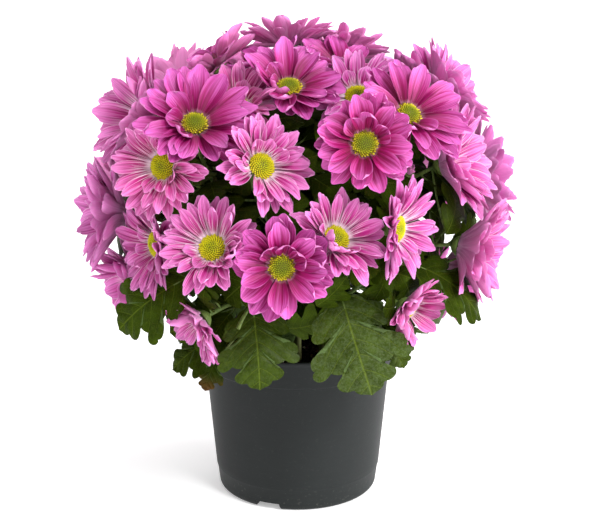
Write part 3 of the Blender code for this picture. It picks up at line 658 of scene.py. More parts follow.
class Skin:
    """Faces gathered from many small surfaces, which become one mesh."""

    def __init__(self, map_name: str) -> None:
        """Starts empty, with the name of its UV map.

        Args:
            map_name: The name of its UV map.
        """
        self.map_name = map_name
        self.points: list[np.ndarray] = []
        self.maps: list[np.ndarray] = []
        self.traits: list[np.ndarray] = []
        self.faces: list[np.ndarray] = []
        self.backs: list[np.ndarray] = []
        self.count = 0

    def add(
        self,
        points: np.ndarray,
        faces: np.ndarray,
        uv: np.ndarray,
        traits: Sequence[float],
        back: np.ndarray,
    ) -> None:
        """Adds one closed surface of quads.

        Args:
            points: Its points, in world space.
            faces: Its quads, as rows of four point numbers.
            uv: A map coordinate for each point.
            traits: Three numbers that its material reads.
            back: For each face, 1 on the underside and 0 on top.
        """
        self.points.append(points)
        self.maps.append(uv)
        self.traits.append(np.tile(np.asarray(traits, float), (len(points), 1)))
        self.faces.append(faces + self.count)
        self.backs.append(back)
        self.count += len(points)

    def mesh(self, name: str, material: bpy.types.Material) -> bpy.types.Mesh:
        """Makes one mesh of everything gathered.

        Args:
            name: The mesh's name.
            material: Its material.

        Returns:
            The mesh, smooth apart from sharp edges.
        """
        mesh = bpy.data.meshes.new(name)
        faces = np.concatenate(self.faces)
        mesh.from_pydata(np.concatenate(self.points).tolist(), [], faces.tolist())
        uv = np.concatenate(self.maps)[faces.ravel()]
        mesh.uv_layers.new(name=self.map_name).data.foreach_set("uv", uv.astype(np.float32).ravel())
        traits = mesh.attributes.new("traits", "FLOAT_VECTOR", "POINT")
        traits.data.foreach_set("vector", np.concatenate(self.traits).astype(np.float32).ravel())
        back = mesh.attributes.new("back", "FLOAT", "FACE")
        back.data.foreach_set("value", np.concatenate(self.backs).astype(np.float32))
        mesh.materials.append(material)
        mesh.shade_smooth()
        mesh.set_sharp_from_angle(angle=math.radians(70))
        mesh.update()
        return mesh


def closed_sheet(rows: int, columns: int) -> tuple[np.ndarray, np.ndarray, np.ndarray]:
    """Quads of a thin closed sheet over a grid of points, whose two skins share their border.

    Args:
        rows: Rows of grid points.
        columns: Grid points in a row.

    Returns:
        The faces, which are on the underside, and the grid numbers of the underside's own points,
        which follow the upper grid's in that order.
    """
    grid = np.arange(rows * columns).reshape(rows, columns)
    under = grid.copy()
    inner = grid[1:-1, 1:-1]
    under[1:-1, 1:-1] = rows * columns + np.arange(inner.size).reshape(inner.shape)
    upper_faces = np.stack([grid[:-1, :-1], grid[1:, :-1], grid[1:, 1:], grid[:-1, 1:]], axis=-1)
    under_faces = np.stack([under[:-1, :-1], under[:-1, 1:], under[1:, 1:], under[1:, :-1]], axis=-1)
    faces = np.concatenate([upper_faces.reshape(-1, 4), under_faces.reshape(-1, 4)])
    back = np.repeat([0.0, 1.0], len(faces) // 2)
    return faces, back, inner.ravel()


def thick_sheet(
    grid: np.ndarray, thickness: float
) -> tuple[np.ndarray, np.ndarray, np.ndarray, np.ndarray]:
    """A thin closed sheet under a grid of points.

    Args:
        grid: Points as rows, columns, xyz. Its upper side faces along rows x columns.
        thickness: How far the underside lies below.

    Returns:
        Points, faces, back marks, and the grid numbers of the underside's own points.
    """
    rows, columns = grid.shape[:2]
    faces, back, inner = closed_sheet(rows, columns)
    along = np.gradient(grid, axis=0)
    across = np.gradient(grid, axis=1)
    normal = np.cross(along, across)
    normal /= np.maximum(np.linalg.norm(normal, axis=-1, keepdims=True), 1e-12)
    upper = grid.reshape(-1, 3)
    below = (grid - normal * thickness).reshape(-1, 3)[inner]
    return np.concatenate([upper, below]), faces, back, inner


def linked(name: str, data: bpy.types.ID) -> bpy.types.Object:
    """A new object in the scene.

    Args:
        name: The object's name.
        data: Its data.

    Returns:
        The object.
    """
    made = bpy.data.objects.new(name, data)
    bpy.context.scene.collection.objects.link(made)
    return made


def add_piece(name: str, mesh: bpy.types.Mesh, slot: Slot, *nodes: str) -> bpy.types.Object:
    """Links a finished mesh, lets it ride on the one body, and says what it stands for.

    Args:
        name: The piece's name.
        mesh: The mesh, with its place in it.
        slot: The slot of its finish, which goes into the log.
        nodes: The CAD nodes that it replaces.

    Returns:
        The piece.
    """
    mesh.name = name
    piece = linked(name, mesh)
    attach(piece, BODY)
    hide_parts(*nodes)
    LOG.info("%s: %d faces, %s, for %s", name, len(mesh.polygons), slot.value, ", ".join(nodes))
    return piece


class Occupied:
    """Surfaces already in place, so that what comes later is turned clear of them."""

    def __init__(self) -> None:
        """Starts empty."""
        self.owners: list[str] = []
        self.trees: list[BVHTree] = []
        self.centres = np.zeros((0, 3))
        self.radii = np.zeros(0)

    @staticmethod
    def _ball(points: np.ndarray) -> tuple[np.ndarray, float]:
        """A ball round some points."""
        centre = (points.min(0) + points.max(0)) / 2
        return centre, float(np.linalg.norm(points - centre, axis=1).max())

    def add(self, owner: str, points: np.ndarray, faces: np.ndarray) -> None:
        """Adds a surface under its owner's name.

        Args:
            owner: Whose surface it is.
            points: The surface's points.
            faces: Its faces.
        """
        centre, radius = self._ball(points)
        self.owners.append(owner)
        self.trees.append(BVHTree.FromPolygons(points.tolist(), faces.tolist()))
        self.centres = np.vstack([self.centres, centre])
        self.radii = np.append(self.radii, radius)

    def meets(self, points: np.ndarray, faces: np.ndarray, apart_from: tuple[str, ...] = ()) -> bool:
        """Whether a surface cuts through one that is there.

        Args:
            points: The surface's points.
            faces: Its faces.
            apart_from: Owners whose surfaces don't count.

        Returns:
            True if it cuts through any.
        """
        centre, radius = self._ball(points)
        near = np.flatnonzero(np.linalg.norm(self.centres - centre, axis=1) < self.radii + radius)
        near = [index for index in near if self.owners[index] not in apart_from]
        if not near:
            return False
        shape = BVHTree.FromPolygons(points.tolist(), faces.tolist())
        return any(shape.overlap(self.trees[index]) for index in near)


def turned(profile: Sequence[tuple[float, float]], sides: int) -> bmesh.types.BMesh:
    """A closed form turned from a section about the vertical axis.

    Args:
        profile: (radius, height) points of the section. It starts and ends on the axis, or its
            last point joins its first.
        sides: How many sides the form has.

    Returns:
        The form, with single corners on the axis and its normals outward.
    """
    form = bmesh.new()
    rings = []
    for radius, height in profile:
        turns = range(sides if radius > 0 else 1)
        angles = (2 * math.pi * turn / sides for turn in turns)
        ring = [(radius * math.cos(angle), radius * math.sin(angle), height) for angle in angles]
        rings.append([form.verts.new(point) for point in ring])
    for low, high in zip(rings, rings[1:] + rings[:1]):
        for side in range(sides if len(low) + len(high) > 2 else 0):
            after = side + 1
            corners = [low[side % len(low)], low[after % len(low)]]
            corners += [high[after % len(high)], high[side % len(high)]]
            form.faces.new(list(dict.fromkeys(corners)))
    bmesh.ops.recalc_face_normals(form, faces=form.faces)
    return form


def mesh_of(form: bmesh.types.BMesh, name: str) -> bpy.types.Mesh:
    """Makes the form a mesh and frees it.

    Args:
        form: The form.
        name: The mesh's name.

    Returns:
        The mesh.
    """
    mesh = bpy.data.meshes.new(name)
    form.to_mesh(mesh)
    form.free()
    return mesh


def merged_form(node: str) -> bmesh.types.BMesh:
    """A merged copy of a CAD node's loose triangles.

    Args:
        node: The node's name.

    Returns:
        The copy, with its corners numbered.
    """
    form = bmesh.new()
    form.from_mesh(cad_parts[node].data)
    bmesh.ops.remove_doubles(form, verts=form.verts, dist=WELD)
    form.verts.ensure_lookup_table()
    form.verts.index_update()
    return form


@dataclass
class PetalLine:
    """The middle line of a petal in its bloom's (out, up) plane: root + reach * t + bow * t * t."""

    azimuth: float
    root: np.ndarray
    reach: np.ndarray
    bow: np.ndarray
    half_width: float
    ring: Ring

    @classmethod
    def through(
        cls,
        azimuth: float,
        root: np.ndarray,
        crease: np.ndarray,
        tip: np.ndarray,
        half_width: float,
        ring: Ring,
    ) -> PetalLine:
        """The line from the root through the crease point to the tip.

        Args:
            azimuth: The direction about the bloom's axis.
            root: Where it starts.
            crease: A point that it runs through.
            tip: Where it ends.
            half_width: Half the petal's width.
            ring: The petal's layer.

        Returns:
            The line.
        """
        share = BloomShape.crease_at
        bow = ((crease - root) - share * (tip - root)) / (share * share - share)
        return cls(azimuth, root, tip - root - bow, bow, half_width, ring)

    def between(self, other: PetalLine, ring: Ring, size: float) -> PetalLine:
        """A petal half-way to another one, and that share as long.

        Args:
            other: The other petal.
            ring: The new petal's layer.
            size: Its length as a share.

        Returns:
            The new petal's line.
        """
        turn = (other.azimuth - self.azimuth + math.pi) % (2 * math.pi) - math.pi
        return PetalLine(
            self.azimuth + turn / 2,
            (self.root + other.root) / 2,
            (self.reach + other.reach) / 2 * size,
            (self.bow + other.bow) / 2 * size * size,
            min(self.half_width, other.half_width),
            ring,
        )

    def bent(self, degrees: float, size: float) -> PetalLine:
        """The same petal turned up about its root, and that share as long.

        Args:
            degrees: How far it is turned up.
            size: Its length as a share.

        Returns:
            The new petal's line.
        """
        turn = math.radians(degrees)
        spin = np.array([[math.cos(turn), -math.sin(turn)], [math.sin(turn), math.cos(turn)]])
        return PetalLine(
            self.azimuth,
            self.root,
            spin @ self.reach * size,
            spin @ self.bow * size * size,
            self.half_width * (0.4 + 0.6 * size),
            self.ring,
        )


@dataclass(frozen=True)
class PetalGrid:
    """Where the grid of a petal has its points, and how its outline and relief run."""

    columns: tuple[float, ...] = (-1.0, -0.8, -0.56, -0.34, 0.0, 0.34, 0.56, 0.8, 1.0)
    rows: tuple[float, ...] = (-0.05, 0.09, 0.23, 0.38, 0.54, 0.7, 0.84, 0.95, 1.0)
    root_width: float = 0.4
    widest_at: float = 0.62
    tip_width: float = 0.5
    groove_at: float = 0.34
    thickness: float = 0.34 * MM
    bluntness: tuple[float, float] = (0.11, 0.2)
    most_notch: float = 0.035
    groove_depth: tuple[float, float] = (0.6, 1.3)
    most_roll: float = 24
    most_sway: float = 2.2
    fold_height: tuple[float, float] = (-0.8, 2.2)
    ripple_height: tuple[float, float] = (0.1, 0.45)

    def shape(
        self, line: PetalLine, draw: random.Random, cup: float, curl: float, ridges: float
    ) -> np.ndarray:
        """The petal's upper side in the bloom's own frame.

        Args:
            line: The petal's middle line.
            draw: Where its own irregularity comes from.
            cup: How far its edges stand above its middle.
            curl: How far its tip is lifted, or lowered if negative.
            ridges: How deep its lengthwise grooves are.

        Returns:
            Points as rows, columns, xyz.
        """
        u = np.array(self.columns)[None, :]
        v = np.array(self.rows)[:, None]
        blunt = draw.uniform(*self.bluntness)
        notch = draw.uniform(0.0, self.most_notch)
        groove = draw.uniform(*self.groove_depth) * ridges
        roll = math.radians(draw.uniform(-self.most_roll, self.most_roll))
        sway = draw.uniform(-self.most_sway, self.most_sway) * MM
        fold = draw.uniform(*self.fold_height) * MM
        ripple = draw.uniform(*self.ripple_height) * MM
        phase = draw.uniform(0, 6.28)
        t = v - blunt * np.abs(u) ** 2.4 * v**8 - notch * np.exp(-((u / 0.3) ** 2)) * v**10
        grown = np.sin(np.pi / 2 * np.clip(v / self.widest_at, 0, 1)) ** 1.1
        fall = (1 - self.tip_width) * np.maximum((v - self.widest_at) / (1 - self.widest_at), 0) ** 2.2
        width = (self.root_width + (1 - self.root_width) * grown - fall) * line.half_width
        out, up = (line.root[i] + line.reach[i] * t + line.bow[i] * t * t for i in (0, 1))
        d_out, d_up = (line.reach[i] + 2 * line.bow[i] * t for i in (0, 1))
        speed = np.maximum(np.hypot(d_out, d_up), 1e-9)
        body = np.sin(np.pi * np.clip(v * 0.9 + 0.1, 0, 1)) ** 0.7
        lift = cup * np.abs(u) ** 1.7 * (0.35 + 0.65 * body)
        lift = lift - groove * np.exp(-(((np.abs(u) - self.groove_at) / 0.16) ** 2)) * body
        lift = lift + curl * np.maximum((v - 0.55) / 0.45, 0) ** 2
        lift = lift + ripple * np.sin(v * 9 + phase) * u * v + fold * (np.abs(u) - 0.5) * v * (1 - 0.4 * v)
        side = u * width
        lean = roll * v
        aside = side * np.cos(lean) - lift * np.sin(lean) + sway * v * v
        lift = side * np.sin(lean) + lift * np.cos(lean)
        out = out - lift * d_up / speed
        up = up + lift * d_out / speed
        turn = (math.cos(line.azimuth), math.sin(line.azimuth))
        x = out * turn[0] - aside * turn[1]
        y = out * turn[1] + aside * turn[0]
        return np.stack([x, y, up + 0 * u], axis=-1)

    def add_to(self, skin: Skin, grid: np.ndarray, traits: Sequence[float]) -> None:
        """Gives a petal's upper side its thickness and its map, and adds it to a skin.

        Args:
            skin: The skin.
            grid: The upper side as rows, columns, xyz.
            traits: Three numbers that its material reads.
        """
        points, faces, back, inner = thick_sheet(grid, self.thickness)
        u, v = np.meshgrid((np.array(self.columns) + 1) / 2, self.rows)
        uv = np.stack([u.ravel(), v.ravel()], axis=-1)
        skin.add(points, faces, np.concatenate([uv, uv[inner]]), traits, back)


@dataclass(frozen=True)
class Habit:
    """How the petals of one kind of bloom stand. Ridges, cup and curl are in millimetres."""

    fresh: float
    extra: int
    under: int
    short: int
    width: float
    ridges: float
    reach: tuple[float, float]
    cup: tuple[float, float]
    curl: tuple[float, float]


class Kind(Enum):
    """The three habits of bloom."""

    FRESH = Habit(0.95, 7, 4, 3, 1.04, 0.6, reach=(0.88, 1.06), cup=(1.0, 4.6), curl=(-1.5, 3.4))
    OPEN = Habit(0.12, 14, 5, 4, 0.84, 0.75, reach=(0.88, 1.06), cup=(0.3, 2.4), curl=(-2.4, 2.0))
    CUPPED = Habit(0.04, 14, 7, 3, 1.06, 0.7, reach=(1.0, 1.18), cup=(0.4, 3.0), curl=(-2.4, 1.6))


@dataclass
class BloomShape:
    """One bloom, read from its node: its own frame, with +Z out of the face, and its petals."""

    number: int
    node: str
    place: np.ndarray
    kind: Kind
    lines: list[PetalLine]

    hub_depth = 2.3 * MM
    inner_root = (7.8 * MM, 0.0)
    outer_root = (8.4 * MM, -1.15 * MM)
    valleys = ((7.8 * MM, 0.0), (8.4 * MM, -2.3 * MM))
    dome_radius = 6.0 * MM
    crease_at = 0.58
    snap = 0.1 * MM
    ring_snap = 0.02 * MM
    root_reach = math.hypot(7.8, 2.3) * MM
    open_petals = 8
    cupped_half_width = 6.1 * MM

    @classmethod
    def read(cls, number: int, node: str) -> BloomShape:
        """Reads a bloom from its CAD node.

        Args:
            number: The bloom's number.
            node: The node that holds its petals.

        Returns:
            The bloom's place, kind and petals.
        """
        form = merged_form(node)
        found = ((vert, cls._ring_of(vert)) for vert in form.verts)
        under, ring = max(found, key=lambda pair: len(pair[1]))
        around = [other.co - under.co for other in ring]
        crosses = (a.cross(b) for a in around for b in around)
        normal = max(crosses, key=lambda cross: cross.length).normalized()
        points = (vert.co for vert in form.verts)
        over = [point for point in points if abs((point - under.co).length - cls.root_reach) < cls.snap]
        if sum((point - under.co).dot(normal) for point in over) < 0:
            normal = -normal
        side = UP.cross(normal).normalized()
        turned = Matrix((side, normal.cross(side), normal)).transposed().to_4x4()
        place = Matrix.Translation(under.co + normal * cls.hub_depth) @ turned
        back = place.inverted()
        local = {vert: back @ vert.co for vert in form.verts}

        def in_hub(vert: bmesh.types.BMVert) -> bool:
            """Whether a corner belongs to the hub that carries the petals.

            Args:
                vert: The corner.

            Returns:
                True if it does.
            """
            point = local[vert]
            radius = point.xy.length
            near = any(abs(radius - r) < cls.snap and abs(point.z - z) < cls.snap for r, z in cls.valleys)
            return near or radius < cls.dome_radius

        hub = {vert for vert in form.verts if in_hub(vert)}
        left = set(form.verts) - hub
        lines = []
        while left:
            group = {left.pop()}
            edge = list(group)
            while edge:
                joined = {e.other_vert(v) for v in edge for e in v.link_edges} & left
                left -= joined
                group |= joined
                edge = list(joined)
            made = cls._petal(group, hub, local)
            if made:
                lines.append(made)
        form.free()
        widths = [line.half_width for line in lines]
        count = len(lines)
        if count >= 2 * cls.open_petals:
            kind = Kind.OPEN
        elif sum(widths) / count < cls.cupped_half_width:
            kind = Kind.CUPPED
        else:
            kind = Kind.FRESH
        lines.sort(key=lambda line: line.azimuth)
        return cls(number, node, np.array(place), kind, lines)

    @classmethod
    def _ring_of(cls, vert: bmesh.types.BMVert) -> list[bmesh.types.BMVert]:
        """The neighbours of a corner that lie as far off as the outer valleys from the hub's underside.

        Args:
            vert: The corner.

        Returns:
            The neighbours.
        """
        others = (edge.other_vert(vert) for edge in vert.link_edges)
        reach = cls.valleys[1][0]
        return [other for other in others if abs((other.co - vert.co).length - reach) < cls.ring_snap]

    @classmethod
    def _petal(
        cls,
        group: set[bmesh.types.BMVert],
        hub: set[bmesh.types.BMVert],
        local: Mapping[bmesh.types.BMVert, Vector],
    ) -> PetalLine | None:
        """The middle line of the petal that these vertices make, or None if they make none.

        Args:
            group: The petal's corners.
            hub: The hub's corners.
            local: Each corner's place in the bloom's own frame.

        Returns:
            The line or None.
        """
        near = {v: [e.other_vert(v) for e in v.link_edges if e.other_vert(v) in hub] for v in group}
        creases = sorted((v for v in group if len(near[v]) >= 3), key=lambda v: local[v].z)
        ends = [v for v in group if len(near[v]) == 1]
        free = [v for v in group if not near[v]]
        if len(creases) != 2 or len(ends) != 2 or not free:
            return None
        links = {v: sum(e.other_vert(v) in free for e in v.link_edges) for v in free}
        tip = local[max(free, key=lambda v: links[v])]
        outer = local[near[ends[0]][0]].z < -cls.hub_depth / 2
        azimuth = math.atan2(tip.y, tip.x)
        crease = local[creases[1]]
        half_width = (local[ends[0]] - local[ends[1]]).length / 2
        return PetalLine.through(
            azimuth,
            np.array(cls.outer_root if outer else cls.inner_root),
            np.array([crease.xy.length, crease.z]),
            np.array([tip.xy.length, tip.z]),
            half_width,
            Ring.OUTER if outer else Ring.INNER,
        )

    @property
    def name(self) -> str:
        """The bloom's name as an owner of surfaces."""
        return f"bloom_{self.number:02d}"

    def world(self, points: np.ndarray) -> np.ndarray:
        """Points of the bloom's own frame, in world space."""
        return points @ self.place[:3, :3].T + self.place[:3, 3]


@dataclass
class Bloom:
    """One bloom: petals in layers round a disc of florets."""

    shape: BloomShape
    grid: PetalGrid = field(default_factory=PetalGrid)
    bends: tuple[float, ...] = (0, 3, -3, 6, -6, 10, -10, 15, -15, 21, -21)
    sizes: tuple[float, ...] = (1.0, 0.88, 0.74, 0.6)
    fresh_spread: float = 0.25
    most_bend: float = 8
    most_turn: float = 7
    width_spread: tuple[float, float] = (0.86, 1.12)
    under_bend: tuple[float, float] = (-14, -5)
    short_size: tuple[float, float] = (0.42, 0.62)
    short_bend: tuple[float, float] = (8, 22)

    def __post_init__(self) -> None:
        """Sets up the bloom's own draws and its empty skin."""
        self.draw = random.Random(1000 + self.shape.number)
        self.skin = Skin("petal")
        self.tone = self.draw.random()

    def grow(self, line: PetalLine, occupied: Occupied) -> bool:
        """Adds one petal, bent or shortened a little where that keeps it clear of other pieces.

        Args:
            line: The petal's middle line.
            occupied: Everything already placed.

        Returns:
            True if it found room.
        """
        habit = self.shape.kind.value
        own = self.draw.random()
        seed = self.draw.random()
        cup = self.draw.uniform(*(height * MM for height in habit.cup))
        curl = self.draw.uniform(*(height * MM for height in habit.curl))
        upper_faces = closed_sheet(len(self.grid.rows), len(self.grid.columns))[0]
        upper_faces = upper_faces[: len(upper_faces) // 2]
        for size in self.sizes:
            for bend in self.bends:
                tried = line.bent(bend, size)
                local = self.grid.shape(tried, random.Random(seed), cup, curl, habit.ridges * MM)
                grid = self.shape.world(local.reshape(-1, 3)).reshape(local.shape)
                upper = grid.reshape(-1, 3)
                if not occupied.meets(upper, upper_faces, (self.shape.name,)):
                    self._keep(grid, upper_faces, occupied, own)
                    return True
        return False

    def _keep(self, grid: np.ndarray, upper_faces: np.ndarray, occupied: Occupied, own: float) -> None:
        """Keeps a petal and claims its room.

        Args:
            grid: The petal's upper side.
            upper_faces: Its quads.
            occupied: Everything already placed.
            own: The petal's own draw.
        """
        fresh = min(1.0, max(0.0, self.shape.kind.value.fresh + (self.tone - 0.5) * self.fresh_spread))
        self.grid.add_to(self.skin, grid, (fresh, own, self.tone))
        occupied.add(self.shape.name, grid.reshape(-1, 3), upper_faces)

    def grow_frame_petals(self, occupied: Occupied) -> None:
        """The petals that the frame has, the inner ones first.

        Args:
            occupied: Everything already placed.
        """
        for ring in (Ring.INNER, Ring.OUTER):
            for line in self.shape.lines:
                if line.ring is ring:
                    self.grow(self._varied(line, *self.shape.kind.value.reach), occupied)

    def _varied(self, line: PetalLine, shortest: float, longest: float) -> PetalLine:
        """A petal turned, bent and shortened a little by chance.

        Args:
            line: The petal.
            shortest: Its least length as a share.
            longest: Its greatest length as a share.

        Returns:
            The varied petal.
        """
        bend = self.draw.uniform(-self.most_bend, self.most_bend)
        made = line.bent(bend, self.draw.uniform(shortest, longest))
        made.azimuth += math.radians(self.draw.uniform(-self.most_turn, self.most_turn))
        made.half_width *= self.shape.kind.value.width * self.draw.uniform(*self.width_spread)
        return made

    def grow_more_petals(self, occupied: Occupied) -> None:
        """Petals between those of the frame, and a few short ones beside the disc.

        Args:
            occupied: Everything already placed.
        """
        lines = self.shape.lines
        habit = self.shape.kind.value
        gaps = list(range(len(lines)))
        self.draw.shuffle(gaps)
        for gap in gaps[: habit.extra]:
            line = lines[gap].between(lines[(gap + 1) % len(lines)], Ring.MIDDLE, 1.0)
            self.grow(self._varied(line, *habit.reach), occupied)
        outer = [line for line in lines if line.ring is Ring.OUTER]
        first = self.draw.randrange(len(outer))
        for step in range(habit.under):
            here = (first + step * 2) % len(outer)
            line = outer[here].between(outer[(here + 1) % len(outer)], Ring.OUTER, 1.0)
            lowered = line.bent(self.draw.uniform(*self.under_bend), 1.0)
            self.grow(self._varied(lowered, *habit.reach), occupied)
        inner = [line for line in lines if line.ring is Ring.INNER]
        start = self.draw.randrange(len(inner))
        for step in range(habit.short):
            first, second = (inner[(start + step + after) % len(inner)] for after in (0, 1))
            line = first.between(second, Ring.SHORT, self.draw.uniform(*self.short_size))
            self.grow(line.bent(self.draw.uniform(*self.short_bend), 1.0), occupied)

    def finish(self, materials: Finishes) -> None:
        """Makes the petals a piece."""
        mesh = self.skin.mesh(self.shape.name, materials.petal)
        add_piece(f"{self.shape.name}_petals", mesh, Slot.PETAL, self.shape.node)


class GeometryGraph(NodeGraph):
    """A Geometry Nodes tree with named inputs, which one modifier runs and bakes to a plain mesh."""

    def __init__(self, name: str, inputs: Mapping[str, str]) -> None:
        """Makes the tree.

        Args:
            name: The tree's name.
            inputs: The inputs' kinds by name, such as Float or Material.
        """
        super().__init__(bpy.data.node_groups.new(name, "GeometryNodeTree"))
        self.sockets: dict[str, str] = {}
        self.tree.interface.new_socket("Geometry", in_out="INPUT", socket_type="NodeSocketGeometry")
        for label, kind in inputs.items():
            kind = f"NodeSocket{kind}"
            socket = self.tree.interface.new_socket(label, in_out="INPUT", socket_type=kind)
            self.sockets[label] = socket.identifier
        self.tree.interface.new_socket("Geometry", in_out="OUTPUT", socket_type="NodeSocketGeometry")
        self.start = self.node("NodeGroupInput")

    def given(self, label: str) -> Field:
        """One of the tree's inputs as a value."""
        return self.value(self.start, label)

    def chance(self, low: Any, high: Any, seed: Any, own: Any = None) -> bpy.types.NodeSocket:
        """A random value between two numbers, or a random vector between two vectors.

        Args:
            low: The least value or vector.
            high: The greatest.
            seed: The seed.
            own: What each draw goes by, or None for the element's own number.

        Returns:
            The value's socket.
        """
        first = 0 if isinstance(low, tuple) else 2
        settings = {"data_type": "FLOAT_VECTOR" if first == 0 else "FLOAT"}
        inputs = {first: low, first + 1: high, "Seed": seed}
        if own is not None:
            inputs["ID"] = own
        return self.node("FunctionNodeRandomValue", settings, inputs).outputs[first // 2]

    def set_out(self, points: Any, rotation: Any, scale: Any) -> bpy.types.NodeSocket:
        """A small faceted ball on every point, turned and stretched.

        Args:
            points: Where the balls go.
            rotation: How each is turned.
            scale: How each is stretched.

        Returns:
            The instances.
        """
        ball = self.node("GeometryNodeMeshIcoSphere", None, {"Radius": 1.0, "Subdivisions": 1})
        inputs = {"Points": points, "Instance": ball.outputs[0], "Rotation": rotation, "Scale": scale}
        return self.node("GeometryNodeInstanceOnPoints", None, inputs).outputs[0]

    def marked(self, geometry: Any, name: str, value: Any) -> bpy.types.NodeSocket:
        """Instances that each carry a named value.

        Args:
            geometry: The instances.
            name: The value's name.
            value: The value.

        Returns:
            The marked instances.
        """
        settings = {"data_type": "FLOAT", "domain": "INSTANCE"}
        inputs = {"Geometry": geometry, "Name": name, "Value": value}
        return self.node("GeometryNodeStoreNamedAttribute", settings, inputs).outputs[0]

    def with_start(self, geometry: bpy.types.NodeSocket) -> bpy.types.NodeSocket:
        """Geometry joined to what the tree starts from.

        Args:
            geometry: What is joined to it.

        Returns:
            The joined geometry.
        """
        joined = self.node("GeometryNodeJoinGeometry")
        self.tree.links.new(self.start.outputs["Geometry"], joined.inputs[0])
        self.tree.links.new(geometry, joined.inputs[0])
        return joined.outputs[0]

    def finish(self, geometry: bpy.types.NodeSocket, smooth: bool = True) -> None:
        """Ends the tree: instances made real, shaded and given the material.

        Args:
            geometry: What the tree has made.
            smooth: False leaves the faces flat.
        """
        real = self.node("GeometryNodeRealizeInstances", None, {"Geometry": geometry}).outputs[0]
        shaded = self.node(
            "GeometryNodeSetShadeSmooth", {"domain": "FACE"}, {"Geometry": real, "Shade Smooth": smooth}
        ).outputs[0]
        dressed = self.node(
            "GeometryNodeSetMaterial", None, {"Geometry": shaded, "Material": self.given("Material")}
        ).outputs[0]
        self.node("NodeGroupOutput", None, {0: dressed})

    def run(self, data: bpy.types.ID, values: Mapping[str, Any]) -> bpy.types.Mesh:
        """Runs the tree on a mesh or curve and takes the result as a plain mesh.

        Args:
            data: The mesh or curve that the tree starts from.
            values: The inputs by name.

        Returns:
            The mesh.
        """
        carrier = linked("carrier", data)
        modifier = carrier.modifiers.new("Nodes", "NODES")
        modifier.node_group = self.tree
        for label, value in values.items():
            modifier[self.sockets[label]] = value
        bpy.context.view_layer.update()
        graph = bpy.context.evaluated_depsgraph_get()
        mesh = bpy.data.meshes.new_from_object(carrier.evaluated_get(graph))
        bpy.data.objects.remove(carrier)
        return mesh


class FloretTree(GeometryGraph):
    """Florets set in a sunflower spiral over a low dome."""

    golden_turn = math.radians(137.508)
    tilt = 90.0

    def __init__(self) -> None:
        """Writes the tree."""
        kinds = {
            "Radius": "Float",
            "Height": "Float",
            "Count": "Int",
            "Floret": "Float",
            "Seed": "Int",
            "Material": "Material",
        }
        super().__init__("florets", kinds)
        index = self.value(self.node("GeometryNodeInputIndex"))
        count = self.given("Count")
        rank = (index + 0.5) / count
        radius = rank.math("SQRT") * self.given("Radius")
        turn = index * self.golden_turn
        height = (1.0 - rank**1.25) * self.given("Height") - (1.0 - rank.rise(0.0, 0.12)) * 0.5 * MM
        out, aside = radius * turn.cosine(), radius * turn.sine()
        inputs = {"Count": count, "Position": self.vector(out, aside, height)}
        points = self.node("GeometryNodePoints", None, inputs).outputs[0]
        tilt = {"Vector": self.vector(out * self.tilt, aside * self.tilt, 1.0)}
        facing = self.node("FunctionNodeAlignRotationToVector", {"axis": "Z"}, tilt).outputs[0]
        jitter = Field(self, self.chance(0.8, 1.15, self.given("Seed"), index))
        size = jitter * self.given("Floret") * (0.8 + rank * 0.3)
        buds = self.set_out(points, facing, self.vector(size, size, size * 1.7))
        buds = self.marked(buds, "rank", rank)
        buds = self.marked(buds, "draw", self.chance(0.0, 1.0, self.given("Seed") + 1.0))
        self.finish(self.with_start(buds))


@dataclass
class Disc:
    """A bloom's disc: a low dome covered with florets."""

    shape: BloomShape
    radius: float = 7.2 * MM
    height: float = 2.8 * MM
    foot: float = 0.3 * MM
    florets: int = 150
    floret: float = 0.63 * MM
    sides: int = 20

    def dome(self) -> bpy.types.Mesh:
        """The closed dome under the florets, in the bloom's own frame.

        Returns:
            The dome, with a rank of -1 by which its material tells it from the florets and paints it dark as
            shade between them.
        """
        rings = [(0, -0.35), (1, -0.35), (1, 0), (0.8, 0.36), (0.5, 0.74), (0.2, 0.9), (0, 0.92)]
        form = turned([(self.radius * share, self.height * rise) for share, rise in rings], self.sides)
        mesh = mesh_of(form, "dome")
        rank = mesh.attributes.new("rank", "FLOAT", "POINT")
        rank.data.foreach_set("value", np.full(len(mesh.vertices), -1, np.float32))
        return mesh

    def finish(self, tree: FloretTree, materials: Finishes) -> None:
        """Grows the florets and makes the disc a piece.

        Args:
            tree: The tree that sets out the florets.
            materials: The finished materials.
        """
        number = self.shape.number
        fresh = self.shape.kind is Kind.FRESH
        values = {
            "Radius": self.radius * 1.06,
            "Height": self.height,
            "Count": self.florets,
            "Floret": self.floret,
            "Seed": number,
            "Material": materials.disc,
        }
        mesh = tree.run(self.dome(), values)
        mesh.transform(Matrix(self.shape.place.tolist()) @ Matrix.Translation((0, 0, self.foot)))
        attribute = mesh.attributes.new("fresh", "FLOAT", "POINT")
        level = 1.0 if fresh else 0.0
        attribute.data.foreach_set("value", np.full(len(mesh.vertices), level, np.float32))
        own = f"disc_{number:02d}"
        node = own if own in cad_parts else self.shape.node
        add_piece(f"{self.shape.name}_disc", mesh, Slot.DISC, node)


class SweepTree(GeometryGraph):
    """Round stalks swept along poly curves, each point with its own radius."""

    def __init__(self) -> None:
        """Writes the tree."""
        super().__init__("stalks", {"Sides": "Int", "Material": "Material"})
        inputs = {"Resolution": self.given("Sides"), "Radius": 1.0}
        section = self.node("GeometryNodeCurvePrimitiveCircle", {"mode": "RADIUS"}, inputs)
        sweep = self.node(
            "GeometryNodeCurveToMesh",
            None,
            {"Curve": self.start.outputs["Geometry"], "Profile Curve": section.outputs[0], "Fill Caps": True},
        )
        if "Scale" in sweep.inputs:
            radius = self.node("GeometryNodeInputRadius")
            self.tree.links.new(radius.outputs[0], sweep.inputs["Scale"])
        self.finish(sweep.outputs[0])


